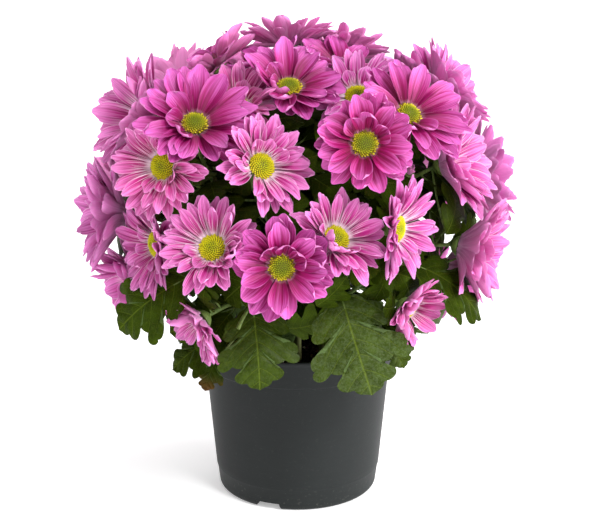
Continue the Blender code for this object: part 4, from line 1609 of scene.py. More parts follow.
@dataclass
class Tracer:
    """Follows the middle of a CAD tube from one end, by looking at its wall all round."""

    tree: BVHTree
    radius: float
    step: float = 0.8 * MM
    rays: int = 8
    most_steps: int = 400
    most_lost: int = 14
    sight: float = 1.25
    leans: range = range(0, 85, 6)
    turns: range = range(0, 360, 24)
    lean_cost: float = 0.01
    least_wall: float = 0.7
    most_jump: float = 0.6
    steadiness: float = 0.6

    def walls(self, point: Vector, along: Vector) -> list[Vector]:
        """Where rays square to the tube's run meet its wall.

        Args:
            point: A point in the tube.
            along: Which way it runs there.

        Returns:
            The places that the rays hit.
        """
        side = along.orthogonal().normalized()
        rays = (Matrix.Rotation(2 * math.pi * turn / self.rays, 3, along) @ side for turn in range(self.rays))
        hits = (self.tree.ray_cast(point, ray, self.radius * self.sight)[0] for ray in rays)
        return [hit for hit in hits if hit is not None]

    def heading(self, start: Vector, along: Vector, reaches: Sequence[float]) -> Vector:
        """The direction from a point in which the tube leaves, no more than a right angle from a given one.

        Args:
            start: The point.
            along: The likely direction.
            reaches: How far from the point the tube is looked for.

        Returns:
            The direction in which the wall closes best round the places at those distances.
        """
        side = along.orthogonal().normalized()
        best, best_score = along, -1.0
        for lean in self.leans:
            for turn in self.turns:
                axis = Matrix.Rotation(math.radians(turn), 3, along) @ side
                way = Matrix.Rotation(math.radians(lean), 3, axis) @ along
                score = sum(len(self.walls(start + way * reach, way)) for reach in reaches)
                score -= lean * self.lean_cost
                if score > best_score:
                    best, best_score = way, score
        return best

    def centred(self, point: Vector, along: Vector) -> Vector | None:
        """The middle of the tube's wall round a point, or None where there is no wall near.

        Args:
            point: A point in the tube.
            along: Which way it runs there.

        Returns:
            The middle or None.
        """
        hits = self.walls(point, along)
        if len(hits) < self.rays * self.least_wall:
            return None
        return sum(hits, Vector()) / len(hits)

    def follow(self, start: Vector, along: Vector, ended: Callable[[Vector], bool]) -> list[Vector]:
        """The tube's middle line.

        Args:
            start: A point in the tube.
            along: Which way it runs there.
            ended: A function of a point that says when to stop.

        Returns:
            Points a step apart.
        """
        here, way = start.copy(), along.normalized()
        line, lost = [here.copy()], 0
        for _ in range(self.most_steps):
            straight = here + way * self.step
            after = self.centred(straight, way)
            if after is None or (after - straight).length > self.step * self.most_jump:
                if lost == 0:
                    way = self.heading(here, way, (3 * self.step, 5 * self.step))
                lost += 1
                after = here + way * self.step
            else:
                lost = 0
                fresh = (after - here).normalized()
                way = (way * self.steadiness + fresh * (1 - self.steadiness)).normalized()
            if lost > self.most_lost or ended(after):
                break
            here = after
            line.append(here.copy())
        return line[: max(1, len(line) - lost)]


def softened(line: Sequence[Vector], spacing: int, passes: int = 2) -> list[Vector]:
    """A line with fewer points and rounder bends, and the same ends.

    Args:
        line: Points close together.
        spacing: Every how many points one is kept.
        passes: How often the kept points are eased.

    Returns:
        The new line.
    """
    kept = [line[0], *line[spacing:-spacing:spacing], line[-1]]
    for _ in range(passes):
        eased = [(a + b * 2 + c) / 4 for a, b, c in zip(kept, kept[1:], kept[2:])]
        kept = [kept[0], *eased, kept[-1]]
    return kept


@dataclass(frozen=True)
class BladeOutline:
    """Half of a lobed blade's outline: share of its length and of its half width, with teeth."""

    points: tuple[tuple[float, float], ...] = (
        *((0.0, 0.05), (0.02, 0.18), (0.07, 0.5), (0.16, 0.78), (0.26, 0.8), (0.325, 0.55)),
        *((0.345, 0.38), (0.375, 0.6), (0.44, 0.94), (0.54, 1.04), (0.63, 0.94), (0.665, 0.55)),
        *((0.68, 0.36), (0.72, 0.5), (0.8, 0.58), (0.88, 0.44), (0.95, 0.22), (1.0, 0.0)),
    )
    half_width: float = 0.46
    teeth: float = 4.4
    tooth_depth: float = 0.055
    tilt: float = 0.28
    toothed_from: int = 3
    lead: float = 0.3

    def sample(self, steps: int) -> tuple[np.ndarray, np.ndarray, np.ndarray]:
        """The outline as a smooth line, with rounded teeth if it is fine enough.

        Args:
            steps: Samples between two of its points.

        Returns:
            The shares of length and of half width, and where on the midrib each sample's rib starts.
        """
        p = np.array([self.points[0], *self.points, self.points[-1]])
        t = np.arange(steps)[:, None] / steps
        parts = []
        for a, b, c, d in zip(p, p[1:], p[2:], p[3:]):
            square = (2 * a - 5 * b + 4 * c - d) * t**2
            cube = (3 * b - a - 3 * c + d) * t**3
            parts.append(0.5 * (2 * b + (c - a) * t + square + cube))
        line = np.concatenate([*parts, p[-1:]])
        share, width = line[:, 0], np.maximum(line[:, 1], 0) * self.half_width
        rib = share * (1 - self.lead + self.lead * share**4)
        share = share + self.tilt * width * (1 - share**3)
        if steps >= self.toothed_from:
            length = np.concatenate([[0], np.cumsum(np.hypot(np.diff(share), np.diff(width)))])
            tooth = np.abs(np.sin(length * self.teeth * math.pi)) ** 0.6 - 0.55
            d_share, d_width = np.gradient(share), np.gradient(width)
            reach = self.tooth_depth * tooth * np.clip(width / 0.12 - 0.4, 0, 1) / np.hypot(d_share, d_width)
            share, width = share - d_width * reach, width + d_share * reach
        return share, np.maximum(width, 0), rib


@dataclass
class Leaf:
    """A lobed, toothed, quilted blade on its stalk."""

    base: Vector
    tip: Vector
    normal: Vector
    root: Vector
    hair_and_sheen_grey: float = 0.4
    withered: float = 0.0
    half_share: float = 0.46
    arch_share: float = 0.12
    droop: float = 0.12
    thickness: float = 0.4 * MM
    seed: int = 0

    def __post_init__(self) -> None:
        """Works out the blade's own axes."""
        self.along = self.tip - self.base
        self.length = self.along.length
        self.side = self.normal.cross(self.along).normalized()
        self.normal = self.along.cross(self.side).normalized()

    def grid(self, steps: int, across: Sequence[float]) -> tuple[np.ndarray, np.ndarray]:
        """The blade's upper side.

        Args:
            steps: Samples between two points of the outline.
            across: Shares from the midrib to the edge.

        Returns:
            Points as rows, columns, xyz, and a map of the same points.
        """
        draw = random.Random(self.seed)
        edge_share, edge_width, rib_share = BladeOutline().sample(steps)
        f = np.array([-value for value in reversed(across)] + list(across[1:]))[None, :]
        reach = np.abs(f)
        share = rib_share[:, None] * (1 - reach) + edge_share[:, None] * reach
        side = edge_width[:, None] * f * self.length
        width = side / (self.half_share * self.length)
        lean = draw.uniform(-0.06, 0.06) * self.length
        wave, twist = draw.uniform(0.5, 1.1) * MM, draw.uniform(-0.15, 0.15)
        phase = draw.uniform(0, 6.28)
        scale = self.length / (50 * MM)
        arch = self.arch_share * self.length * 4 * share * (1 - share)
        q = (share - 0.22 * np.abs(width) - 0.25 * width**2) / 0.15
        within = np.sin(np.pi * np.minimum(reach, 1)) ** 0.7
        quilt = 0.9 * MM * scale * (np.abs(np.sin(np.pi * q)) - 0.5) * within
        rib = -0.5 * MM * scale * np.exp(-((side / (1.6 * MM)) ** 2))
        lift = arch - self.droop * np.abs(side) + quilt + rib
        lift = lift + wave * scale * reach**2 * np.sin(share * 21 + phase + np.sign(f))
        lift = lift + twist * side * share
        bend = lean * share * share
        points = (
            np.array(self.base)
            + share[..., None] * np.array(self.along)
            + (side + bend)[..., None] * np.array(self.side)
            + lift[..., None] * np.array(self.normal)
        )
        uv = np.stack([width * 0.5 + 0.5, share], axis=-1)
        return points, uv

    def surface(self, steps: int, across: Sequence[float]) -> tuple[np.ndarray, np.ndarray]:
        """The upper side's points and quads, to test what it meets.

        Args:
            steps: Samples between two points of the outline.
            across: Shares from the midrib to the edge.

        Returns:
            The points and the quads.
        """
        grid = self.grid(steps, across)[0]
        faces = closed_sheet(*grid.shape[:2])[0]
        return grid.reshape(-1, 3), faces[: len(faces) // 2]

    def add_to(self, skin: Skin, steps: int, across: Sequence[float]) -> None:
        """Adds the blade to a skin.

        Args:
            skin: The skin.
            steps: Samples between two points of the outline.
            across: Shares from the midrib to the edge.
        """
        grid, uv = self.grid(steps, across)
        points, faces, back, inner = thick_sheet(grid, self.thickness)
        uv = uv.reshape(-1, 2)
        traits = (random.Random(self.seed + 5).random(), self.withered, self.hair_and_sheen_grey)
        skin.add(points, faces, np.concatenate([uv, uv[inner]]), traits, back)

    def stalk(self) -> list[Vector]:
        """The stalk's middle line, from the shoot into the midrib.

        Returns:
            The line's points.
        """
        reach = self.base - self.root
        bend = self.root.lerp(self.base, 0.55) - self.normal * reach.length * 0.04
        rise = self.arch_share * self.length * 0.45 - 0.6 * MM
        inside = self.base + self.along * 0.16 + self.normal * rise
        points = [self.root, bend, self.base - self.normal * 0.4 * MM, inside]
        line = []
        for a, b in zip(points, points[1:]):
            line += [a.lerp(b, share / 3) for share in range(3)]
        return softened([*line, points[-1]], 1)


@dataclass(frozen=True)
class Bud:
    """A bud that is about to open: a small calyx with a tight cone of pale petals."""

    stem: int
    place: Vector
    facing: Vector
    calyx_size: float = 0.55
    petals: int = 8
    length: float = 7.0 * MM

    @property
    def frame(self) -> Matrix:
        """The bud's own place, with +Z out of its tip."""
        turn = self.facing.to_track_quat("Z", "Y").to_matrix().to_4x4()
        return Matrix.Translation(self.place) @ turn

    def skin(self) -> Skin:
        """The closed petals, in two rings that lean together.

        Returns:
            The petals' skin.
        """
        skin = Skin("petal")
        grid = PetalGrid()
        draw = random.Random(self.stem)
        for petal in range(self.petals):
            azimuth = 2 * math.pi * petal / self.petals
            reach = np.array([1.0 * MM, self.length * draw.uniform(0.8, 1.0)])
            root, bow = np.array([1.5, -1.5]) * MM, np.array([-2.2 * MM, 0])
            line = PetalLine(azimuth, root, reach, bow, 2.0 * MM, Ring.SHORT)
            local = grid.shape(line, draw, 1.0 * MM, -0.5 * MM, 0.2 * MM)
            points = local.reshape(-1, 3) @ np.array(self.frame.to_3x3()).T + np.array(self.place)
            grid.add_to(skin, points.reshape(local.shape), (0.0, draw.random(), 0.5))
        return skin

    def finish(self, materials: Finishes) -> None:
        """Makes the bud's petals a piece."""
        mesh = self.skin().mesh("bud", materials.petal)
        add_piece("bud_petals", mesh, Slot.PETAL, f"stem_{self.stem}")


@dataclass(frozen=True)
class ExtraLeaf:
    """A small leaf that the photograph shows and the frame leaves out, in millimetres."""

    stem: int
    base: Vector
    tip: Vector
    facing: Vector
    withered: float = 0.0


BUDS = (Bud(2, Vector((67, -70, 229)) * MM, Vector((0.25, -0.75, 0.6))),)

EXTRA_LEAVES = (
    ExtraLeaf(1, Vector((-49, -57, 108)), Vector((-57, -66, 88)), Vector((-0.5, -0.8, 0.2)), 0.68),
    ExtraLeaf(2, Vector((49, -82, 134)), Vector((63, -95, 113)), Vector((0.3, -0.8, 0.5))),
)


@dataclass
class StemShape:
    """One leafy stem, read from its node: its shoot, its branches and its leaves."""

    number: int
    carried: list[BloomShape] = field(default_factory=list)
    shoot: list[Vector] = field(default_factory=list)
    branches: dict[int, list[Vector]] = field(default_factory=dict)
    leaves: list[Leaf] = field(default_factory=list)

    shoot_radius = 2.5 * MM
    branch_radius = 1.3 * MM
    calyx_depth = 7.6 * MM
    seat_depth = 5.6 * MM
    branch_reaches = (4 * MM, 6 * MM, 8 * MM)
    rib_shares = (0.0, 0.3, 0.62)
    rib_gap = 1.0 * MM
    gap_slack = 0.004 * MM
    fit_slack = 0.15 * MM
    shoot_top = 205 * MM
    stalk_lowest = 100 * MM
    stalk_highest = 204 * MM
    least_likeness = 0.99999
    longest_rib = 60 * MM
    shortest_leaf = 30 * MM

    def __post_init__(self) -> None:
        """Gets the CAD node's form ready to be looked at."""
        self.node = f"stem_{self.number}"
        self.form = merged_form(self.node)
        self.tree = BVHTree.FromBMesh(self.form)

    def calyx_gap(self, bloom: BloomShape) -> float:
        """How far this stem's surface lies from the narrow end of a bloom's calyx."""
        return self.tree.find_nearest(bloom.world(np.array([0, 0, -self.calyx_depth])))[3]

    def read(self) -> None:
        """Reads shoot, branches and leaves from the CAD node."""
        form, tree = self.form, self.tree
        lowest = min(vert.co.z for vert in form.verts)
        foot = [vert.co for vert in form.verts if vert.co.z < lowest + 2 * MM]
        start = sum(foot, Vector()) / len(foot) + UP * 1.5 * MM
        tracer = Tracer(tree, self.shoot_radius)
        self.shoot = tracer.follow(start, UP, lambda point: point.z > self.shoot_top)
        for bloom in self.carried:
            normal = Vector(bloom.place[:3, 2])
            seat = Vector(bloom.place[:3, 3]) - normal * self.seat_depth
            tracer = Tracer(tree, self.branch_radius)
            way = tracer.heading(seat, -normal, self.branch_reaches)
            line = tracer.follow(seat, way, self._in_shoot)
            if self._shoot_distance(line[-1]) > 3 * self.shoot_radius:
                LOG.info("%s: bloom %d's branch was lost after %d steps", self.node, bloom.number, len(line))
            self.branches[bloom.number] = line
        self._read_leaves(form, tree)
        form.free()

    def _shoot_distance(self, point: Vector) -> float:
        """How far a point lies from the shoot's middle line."""
        return min((point - here).length for here in self.shoot)

    def _in_shoot(self, point: Vector) -> bool:
        """Whether a branch has reached the shoot at a point."""
        return self._shoot_distance(point) < self.shoot_radius * 0.9

    def _read_leaves(self, form: bmesh.types.BMesh, tree: BVHTree) -> None:
        """Finds each blade by its three pairs of rib points, one above the other.

        Args:
            form: The stem's form.
            tree: The stem's form, ready to be searched.
        """
        points = np.array([vert.co for vert in form.verts])
        near = {v.index: {edge.other_vert(v).index for edge in v.link_edges} for v in form.verts}
        pairs = []
        for index, point in enumerate(points[:-1]):
            gaps = np.linalg.norm(points[index + 1 :] - point, axis=1)
            for offset in np.flatnonzero(np.abs(gaps - self.rib_gap) < self.gap_slack):
                other = index + 1 + int(offset)
                if other not in near[index] and len(near[index] & near[other]) >= 2:
                    pairs.append((index, other))
        middles = [(points[a] + points[b]) / 2 for a, b in pairs]
        normals = [(points[b] - points[a]) / self.rib_gap for a, b in pairs]
        used: set[int] = set()
        for i, (a, b) in enumerate(pairs):
            if i in used:
                continue
            alike = [j for j in range(len(pairs)) if j not in used]
            alike = [j for j in alike if abs(normals[i] @ normals[j]) > self.least_likeness]
            alike = [j for j in alike if np.linalg.norm(middles[j] - middles[i]) < self.longest_rib]
            leaf = self._leaf_from(alike, pairs, middles, normals[i], points, near)
            if leaf:
                used.update(alike)
                leaf.root = self._stalk_root(leaf, tree)
                leaf.seed = self.number * 100 + len(self.leaves)
                self.leaves.append(leaf)

    def _leaf_from(
        self,
        alike: list[int],
        pairs: list[tuple[int, int]],
        middles: list[np.ndarray],
        normal: np.ndarray,
        points: np.ndarray,
        near: Mapping[int, set[int]],
    ) -> Leaf | None:
        """The blade whose rib points are three of these pairs, or None.

        Args:
            alike: The pairs that face the same way and lie near.
            pairs: Corners that lie one above the other.
            middles: The middle of each pair.
            normal: The way that these pairs face.
            points: The form's corners.
            near: The neighbours of each corner.

        Returns:
            The leaf or None.
        """
        for last in alike:
            shared = near[pairs[last][0]] & near[pairs[last][1]]
            for tip in shared:
                for first in alike:
                    along = points[tip] - middles[first]
                    length = np.linalg.norm(along)
                    if first == last or length < self.shortest_leaf or abs(along @ normal) > self.fit_slack:
                        continue
                    for sign in (1, -1):
                        fits = [
                            min(
                                np.linalg.norm(
                                    middles[j]
                                    - middles[first]
                                    - along * share
                                    - normal * sign * 0.12 * length * 4 * share * (1 - share)
                                )
                                for j in alike
                            )
                            for share in self.rib_shares[1:]
                        ]
                        if max(fits) < self.fit_slack:
                            base, end = Vector(middles[first]), Vector(points[tip])
                            return Leaf(base, end, Vector(normal * sign), base.copy())
        return None

    def _stalk_root(self, leaf: Leaf, tree: BVHTree) -> Vector:
        """The point of the shoot whose straight line to the blade lies in the CAD stalk.

        Args:
            leaf: The leaf.
            tree: The stem's form, ready to be searched.

        Returns:
            The point.
        """

        def off(root: Vector) -> float:
            places = (root.lerp(leaf.base, share) for share in (0.35, 0.55, 0.75))
            return sum(tree.find_nearest(place)[3] for place in places)

        inside = [p for p in self.shoot if self.stalk_lowest < p.z < self.stalk_highest]
        return min(inside, key=off).copy()


@dataclass
class Stem:
    """The finished stem: shoot, branches, calyxes, stalks and blades."""

    shape: StemShape
    all_blooms: list[BloomShape]
    # Where the light strikes the leaves; those near it get a painted sheen.
    sheen_at: Vector = Vector((44 * MM, -108 * MM, 101 * MM))
    sheen_reach: float = 90 * MM
    face_radius: float = 26 * MM
    gap_sizes: tuple[float, ...] = (38 * MM, 32 * MM, 26 * MM, 20 * MM, 15 * MM)
    inner_reach: float = 1.04
    crown_heart: Vector = Vector((0, 0, 175 * MM))
    crown_reach: Vector = Vector((122 * MM, 122 * MM, 98 * MM))
    across: tuple[float, ...] = (0.0, 0.22, 0.46, 0.7, 0.88, 1.0)
    small_across: tuple[float, ...] = (0.0, 0.4, 0.75, 1.0)
    steps: int = 6
    leaf_shares: tuple[float, ...] = (0.05, 0.13, 0.22, 0.32, 0.42, 0.54, 0.66, 0.78)
    peat_depth: float = 12 * MM
    bracts: int = 13
    calyx_profile: tuple[tuple[float, float], ...] = (
        *((0, -7.7), (1.3, -7.6), (2.2, -7.2), (3.9, -6.1), (5.4, -4.6)),
        *((6.2, -3.2), (6.4, -2.6), (5.6, -2.45), (0, -2.45)),
    )
    gap_turn: int = 30
    small_turn: int = 40
    small_sizes: tuple[float, float] = (22, 40)
    small_shrinks: tuple[float, ...] = (1.0, 0.8, 0.62)
    small_stalk: tuple[float, float] = (0.75 * MM, 0.5 * MM)
    main_stalk: tuple[float, float] = (1.1 * MM, 0.75 * MM)
    extra_stalk: tuple[float, float] = (0.9 * MM, 0.7 * MM)
    bud_stalk: tuple[float, float] = (0.9 * MM, 0.8 * MM)
    shoot_radii: tuple[float, float] = (2.6 * MM, 1.9 * MM)
    branch_radii: tuple[float, float] = (1.15 * MM, 1.45 * MM)
    least_branch: int = 13
    least_leafy: int = 20

    def __post_init__(self) -> None:
        """Sets up the stem's own draws and its empty skins."""
        self.draw = random.Random(500 + self.shape.number)
        self.crown = Matrix.LocRotScale(self.crown_heart, None, self.crown_reach).inverted()
        self.blades = Skin("blade")
        self.name = f"stem_{self.shape.number}"
        self.stalks: list[tuple[list[Vector], float, float]] = []
        self.buds: list[Bud] = []

    def place_frame_leaves(self, occupied: Occupied) -> None:
        """Adds the leaves that the frame has, and claims their room.

        Args:
            occupied: Everything already placed.
        """
        for leaf in self.shape.leaves:
            # Painted sheen: leaves near sheen_at get a greyer base colour and more coat, as if the light
            # struck them there.
            sheen = max(0.0, 1 - (leaf.tip - self.sheen_at).length / self.sheen_reach)
            leaf.hair_and_sheen_grey = self.draw.uniform(0.1, 0.3) + sheen
            self._keep(leaf, occupied, self.main_stalk)

    def _keep(self, leaf: Leaf, occupied: Occupied, stalk: tuple[float, float], small: bool = False) -> None:
        """Adds a blade and its stalk, and claims the blade's room.

        Args:
            leaf: The blade.
            occupied: Everything already placed.
            stalk: The stalk's radius at its root and at the blade.
            small: True makes the blade of few faces.
        """
        leaf.add_to(self.blades, 1 if small else self.steps, self.small_across if small else self.across)
        occupied.add(self.name, *leaf.surface(1 if small else 2, self.small_across))
        self.stalks.append((leaf.stalk(), *stalk))

    def place_stalks(self, occupied: Occupied) -> None:
        """Adds the shoot and branches, and claims their room.

        Args:
            occupied: Everything already placed.
        """
        shoot = softened(self.shape.shoot, 6)
        top_of_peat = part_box("soil")[1].z
        shoot = [point for point in shoot if point.z > top_of_peat - self.peat_depth]
        self.stalks.append((shoot, *self.shoot_radii))
        for line in self.shape.branches.values():
            if len(line) >= self.least_branch:
                self.stalks.append((softened(line, 5), *self.branch_radii))
        for line, *_ in self.stalks:
            points = np.array([tuple(point + aside * MM) for point in line for aside in (UP, -UP)])
            faces = np.array([[i, i + 1, i + 3, i + 2] for i in range(0, len(points) - 2, 2)])
            occupied.add(self.name, points, faces)

    def add_small_leaves(self, occupied: Occupied) -> int:
        """Grows small leaves along the branches, where they find room.

        Args:
            occupied: Everything already placed.

        Returns:
            How many grew.
        """
        grown = 0
        for line in [*self.shape.branches.values(), self.shape.shoot[: len(self.shape.shoot) // 3 : -1]]:
            if len(line) < self.least_leafy:
                continue
            for share in self.leaf_shares:
                index = min(len(line) - 2, int(len(line) * share))
                along = (line[index - 1] - line[index + 1]).normalized()
                grown += self._small_leaf(line[index], along, occupied)
        return grown

    def _fits(self, leaf: Leaf, reach: float, occupied: Occupied) -> bool:
        """Whether a small leaf stays in that share of the crown, hides no face and meets nothing.

        Args:
            leaf: The leaf.
            reach: The share of the crown.
            occupied: Everything already placed.

        Returns:
            True if it does.
        """
        if self._hides_a_face(leaf, reach):
            return False
        return not occupied.meets(*leaf.surface(1, self.small_across))

    def _hides_a_face(self, leaf: Leaf, reach: float) -> bool:
        """Whether a leaf reaches in front of a bloom, or out of that share of the crown.

        Args:
            leaf: The leaf.
            reach: The share of the crown.

        Returns:
            True if it does either.
        """
        places = [leaf.base, leaf.tip, leaf.base.lerp(leaf.tip, 0.5)]
        places += [places[2] + leaf.side * leaf.length * leaf.half_share * sign for sign in (-1, 1)]
        if max((self.crown @ place).length for place in places) > reach:
            return True
        for bloom in self.all_blooms:
            local = (np.array(places) - bloom.place[:3, 3]) @ bloom.place[:3, :3]
            front = (local[:, 2] > 1 * MM) & (local[:, 2] < 60 * MM)
            if np.any(front & (np.hypot(local[:, 0], local[:, 1]) < self.face_radius)):
                return True
        return False

    def _small_leaf(self, root: Vector, along: Vector, occupied: Occupied) -> int:
        """Tries one small leaf from a point of a branch.

        Args:
            root: The point of the branch.
            along: Which way it runs there.
            occupied: Everything already placed.

        Returns:
            1 if it grew, or else 0.
        """
        side = along.orthogonal().normalized()
        size = self.draw.uniform(*self.small_sizes) * MM
        start = self.draw.uniform(0, 360)
        seed = self.draw.randrange(10**6)
        for shrink in self.small_shrinks:
            for turn in range(0, 360, self.small_turn):
                out = Matrix.Rotation(math.radians(start + turn), 3, along) @ side
                way = (out * 0.85 + along * 0.55).normalized()
                base = root + way * size * shrink * 0.3
                tip = base + (way + out * 0.35).normalized() * size * shrink
                leaf = Leaf(base, tip, along, root, hair_and_sheen_grey=0.1, seed=seed)
                if self._fits(leaf, 1.0, occupied):
                    self._keep(leaf, occupied, self.small_stalk, small=True)
                    return 1
        return 0

    def add_leaf(self, leaf: Leaf, occupied: Occupied) -> None:
        """Adds one more leaf with its stalk.

        Args:
            leaf: The leaf.
            occupied: Everything already placed.
        """
        if occupied.meets(*leaf.surface(2, self.small_across)):
            LOG.info("%s: no room for a leaf at %s", self.name, leaf.base)
        self._keep(leaf, occupied, self.extra_stalk)

    def fill_gap(self, centre: Vector, facing: Vector, occupied: Occupied) -> bool:
        """Tries a leaf that lies across the crown's inside, so that nothing is seen through it.

        Args:
            centre: The middle of the leaf.
            facing: The way its upper side looks.
            occupied: Everything already placed.

        Returns:
            True if it found room.
        """
        root = self.nearest_line_point(centre)
        side = facing.orthogonal().normalized()
        for size in self.gap_sizes:
            for turn in range(0, 360, self.gap_turn):
                way = Matrix.Rotation(math.radians(turn), 3, facing) @ side * size / 2
                seed = self.draw.randrange(10**6)
                leaf = Leaf(centre - way, centre + way, facing, root, hair_and_sheen_grey=0.1, seed=seed)
                if self._fits(leaf, self.inner_reach, occupied):
                    self._keep(leaf, occupied, self.small_stalk, small=True)
                    return True
        return False

    def nearest_line_point(self, place: Vector) -> Vector:
        """The point of the stem's branches that lies nearest to a place."""
        points = [point for line in self.shape.branches.values() for point in line]
        return min(points, key=lambda point: (point - place).length).copy()

    def add_bud(self, bud: Bud) -> None:
        """Adds a bud on its own thin stalk.

        Args:
            bud: The bud.
        """
        foot = bud.frame @ Vector((0, 0, -self.shape.calyx_depth * bud.calyx_size))
        root = self.nearest_line_point(foot)
        bend = root.lerp(foot, 0.6) - bud.facing.normalized() * (foot - root).length * 0.15
        line = softened([root, root.lerp(bend, 0.5), bend, bend.lerp(foot, 0.5), foot], 1)
        self.stalks.append((line, *self.bud_stalk))
        self.buds.append(bud)

    def calyx(self, place: Matrix, size: float) -> bpy.types.Mesh:
        """A cup of overlapping bracts under a bloom.

        Args:
            place: The bloom's place.
            size: Its size as a share of a whole one.

        Returns:
            The mesh.
        """
        profile = [(radius * MM, height * MM) for radius, height in self.calyx_profile]
        form = turned(profile, 2 * self.bracts)
        for vert in form.verts:
            turn = math.atan2(vert.co.y, vert.co.x)
            row = vert.co.z / (1.3 * MM)
            vert.co.xy *= 1 + 0.07 * math.cos(self.bracts * (turn + row * math.pi / self.bracts))
        mesh = mesh_of(form, "calyx")
        mesh.transform(place @ Matrix.Scale(size, 4))
        mesh.shade_smooth()
        return mesh

    def finish(self, sweep: SweepTree, materials: Finishes) -> None:
        """Makes the stalks, calyxes and blades pieces.

        Args:
            sweep: The tree that sweeps the stalks.
            materials: The finished materials.
        """
        curve = bpy.data.curves.new(f"{self.name}_lines", "CURVE")
        curve.dimensions = "3D"
        for line, first, last in self.stalks:
            spline = curve.splines.new("POLY")
            spline.points.add(len(line) - 1)
            for index, (slot, point) in enumerate(zip(spline.points, line)):
                slot.co = (*point, 1)
                slot.radius = first + (last - first) * index / (len(line) - 1)
        mesh = sweep.run(curve, {"Sides": 8, "Material": materials.stem})
        form = bmesh.new()
        form.from_mesh(mesh)
        for bloom in self.shape.carried:
            form.from_mesh(self.calyx(Matrix(bloom.place.tolist()), 1.0))
        for bud in self.buds:
            form.from_mesh(self.calyx(bud.frame, bud.calyx_size))
        form.to_mesh(mesh)
        form.free()
        mesh.materials.clear()
        mesh.materials.append(materials.stem)
        add_piece(f"{self.name}_shoots", mesh, Slot.GREEN, self.shape.node)
        mesh = self.blades.mesh(self.name, materials.leaf)
        add_piece(f"{self.name}_leaves", mesh, Slot.GREEN, self.shape.node)


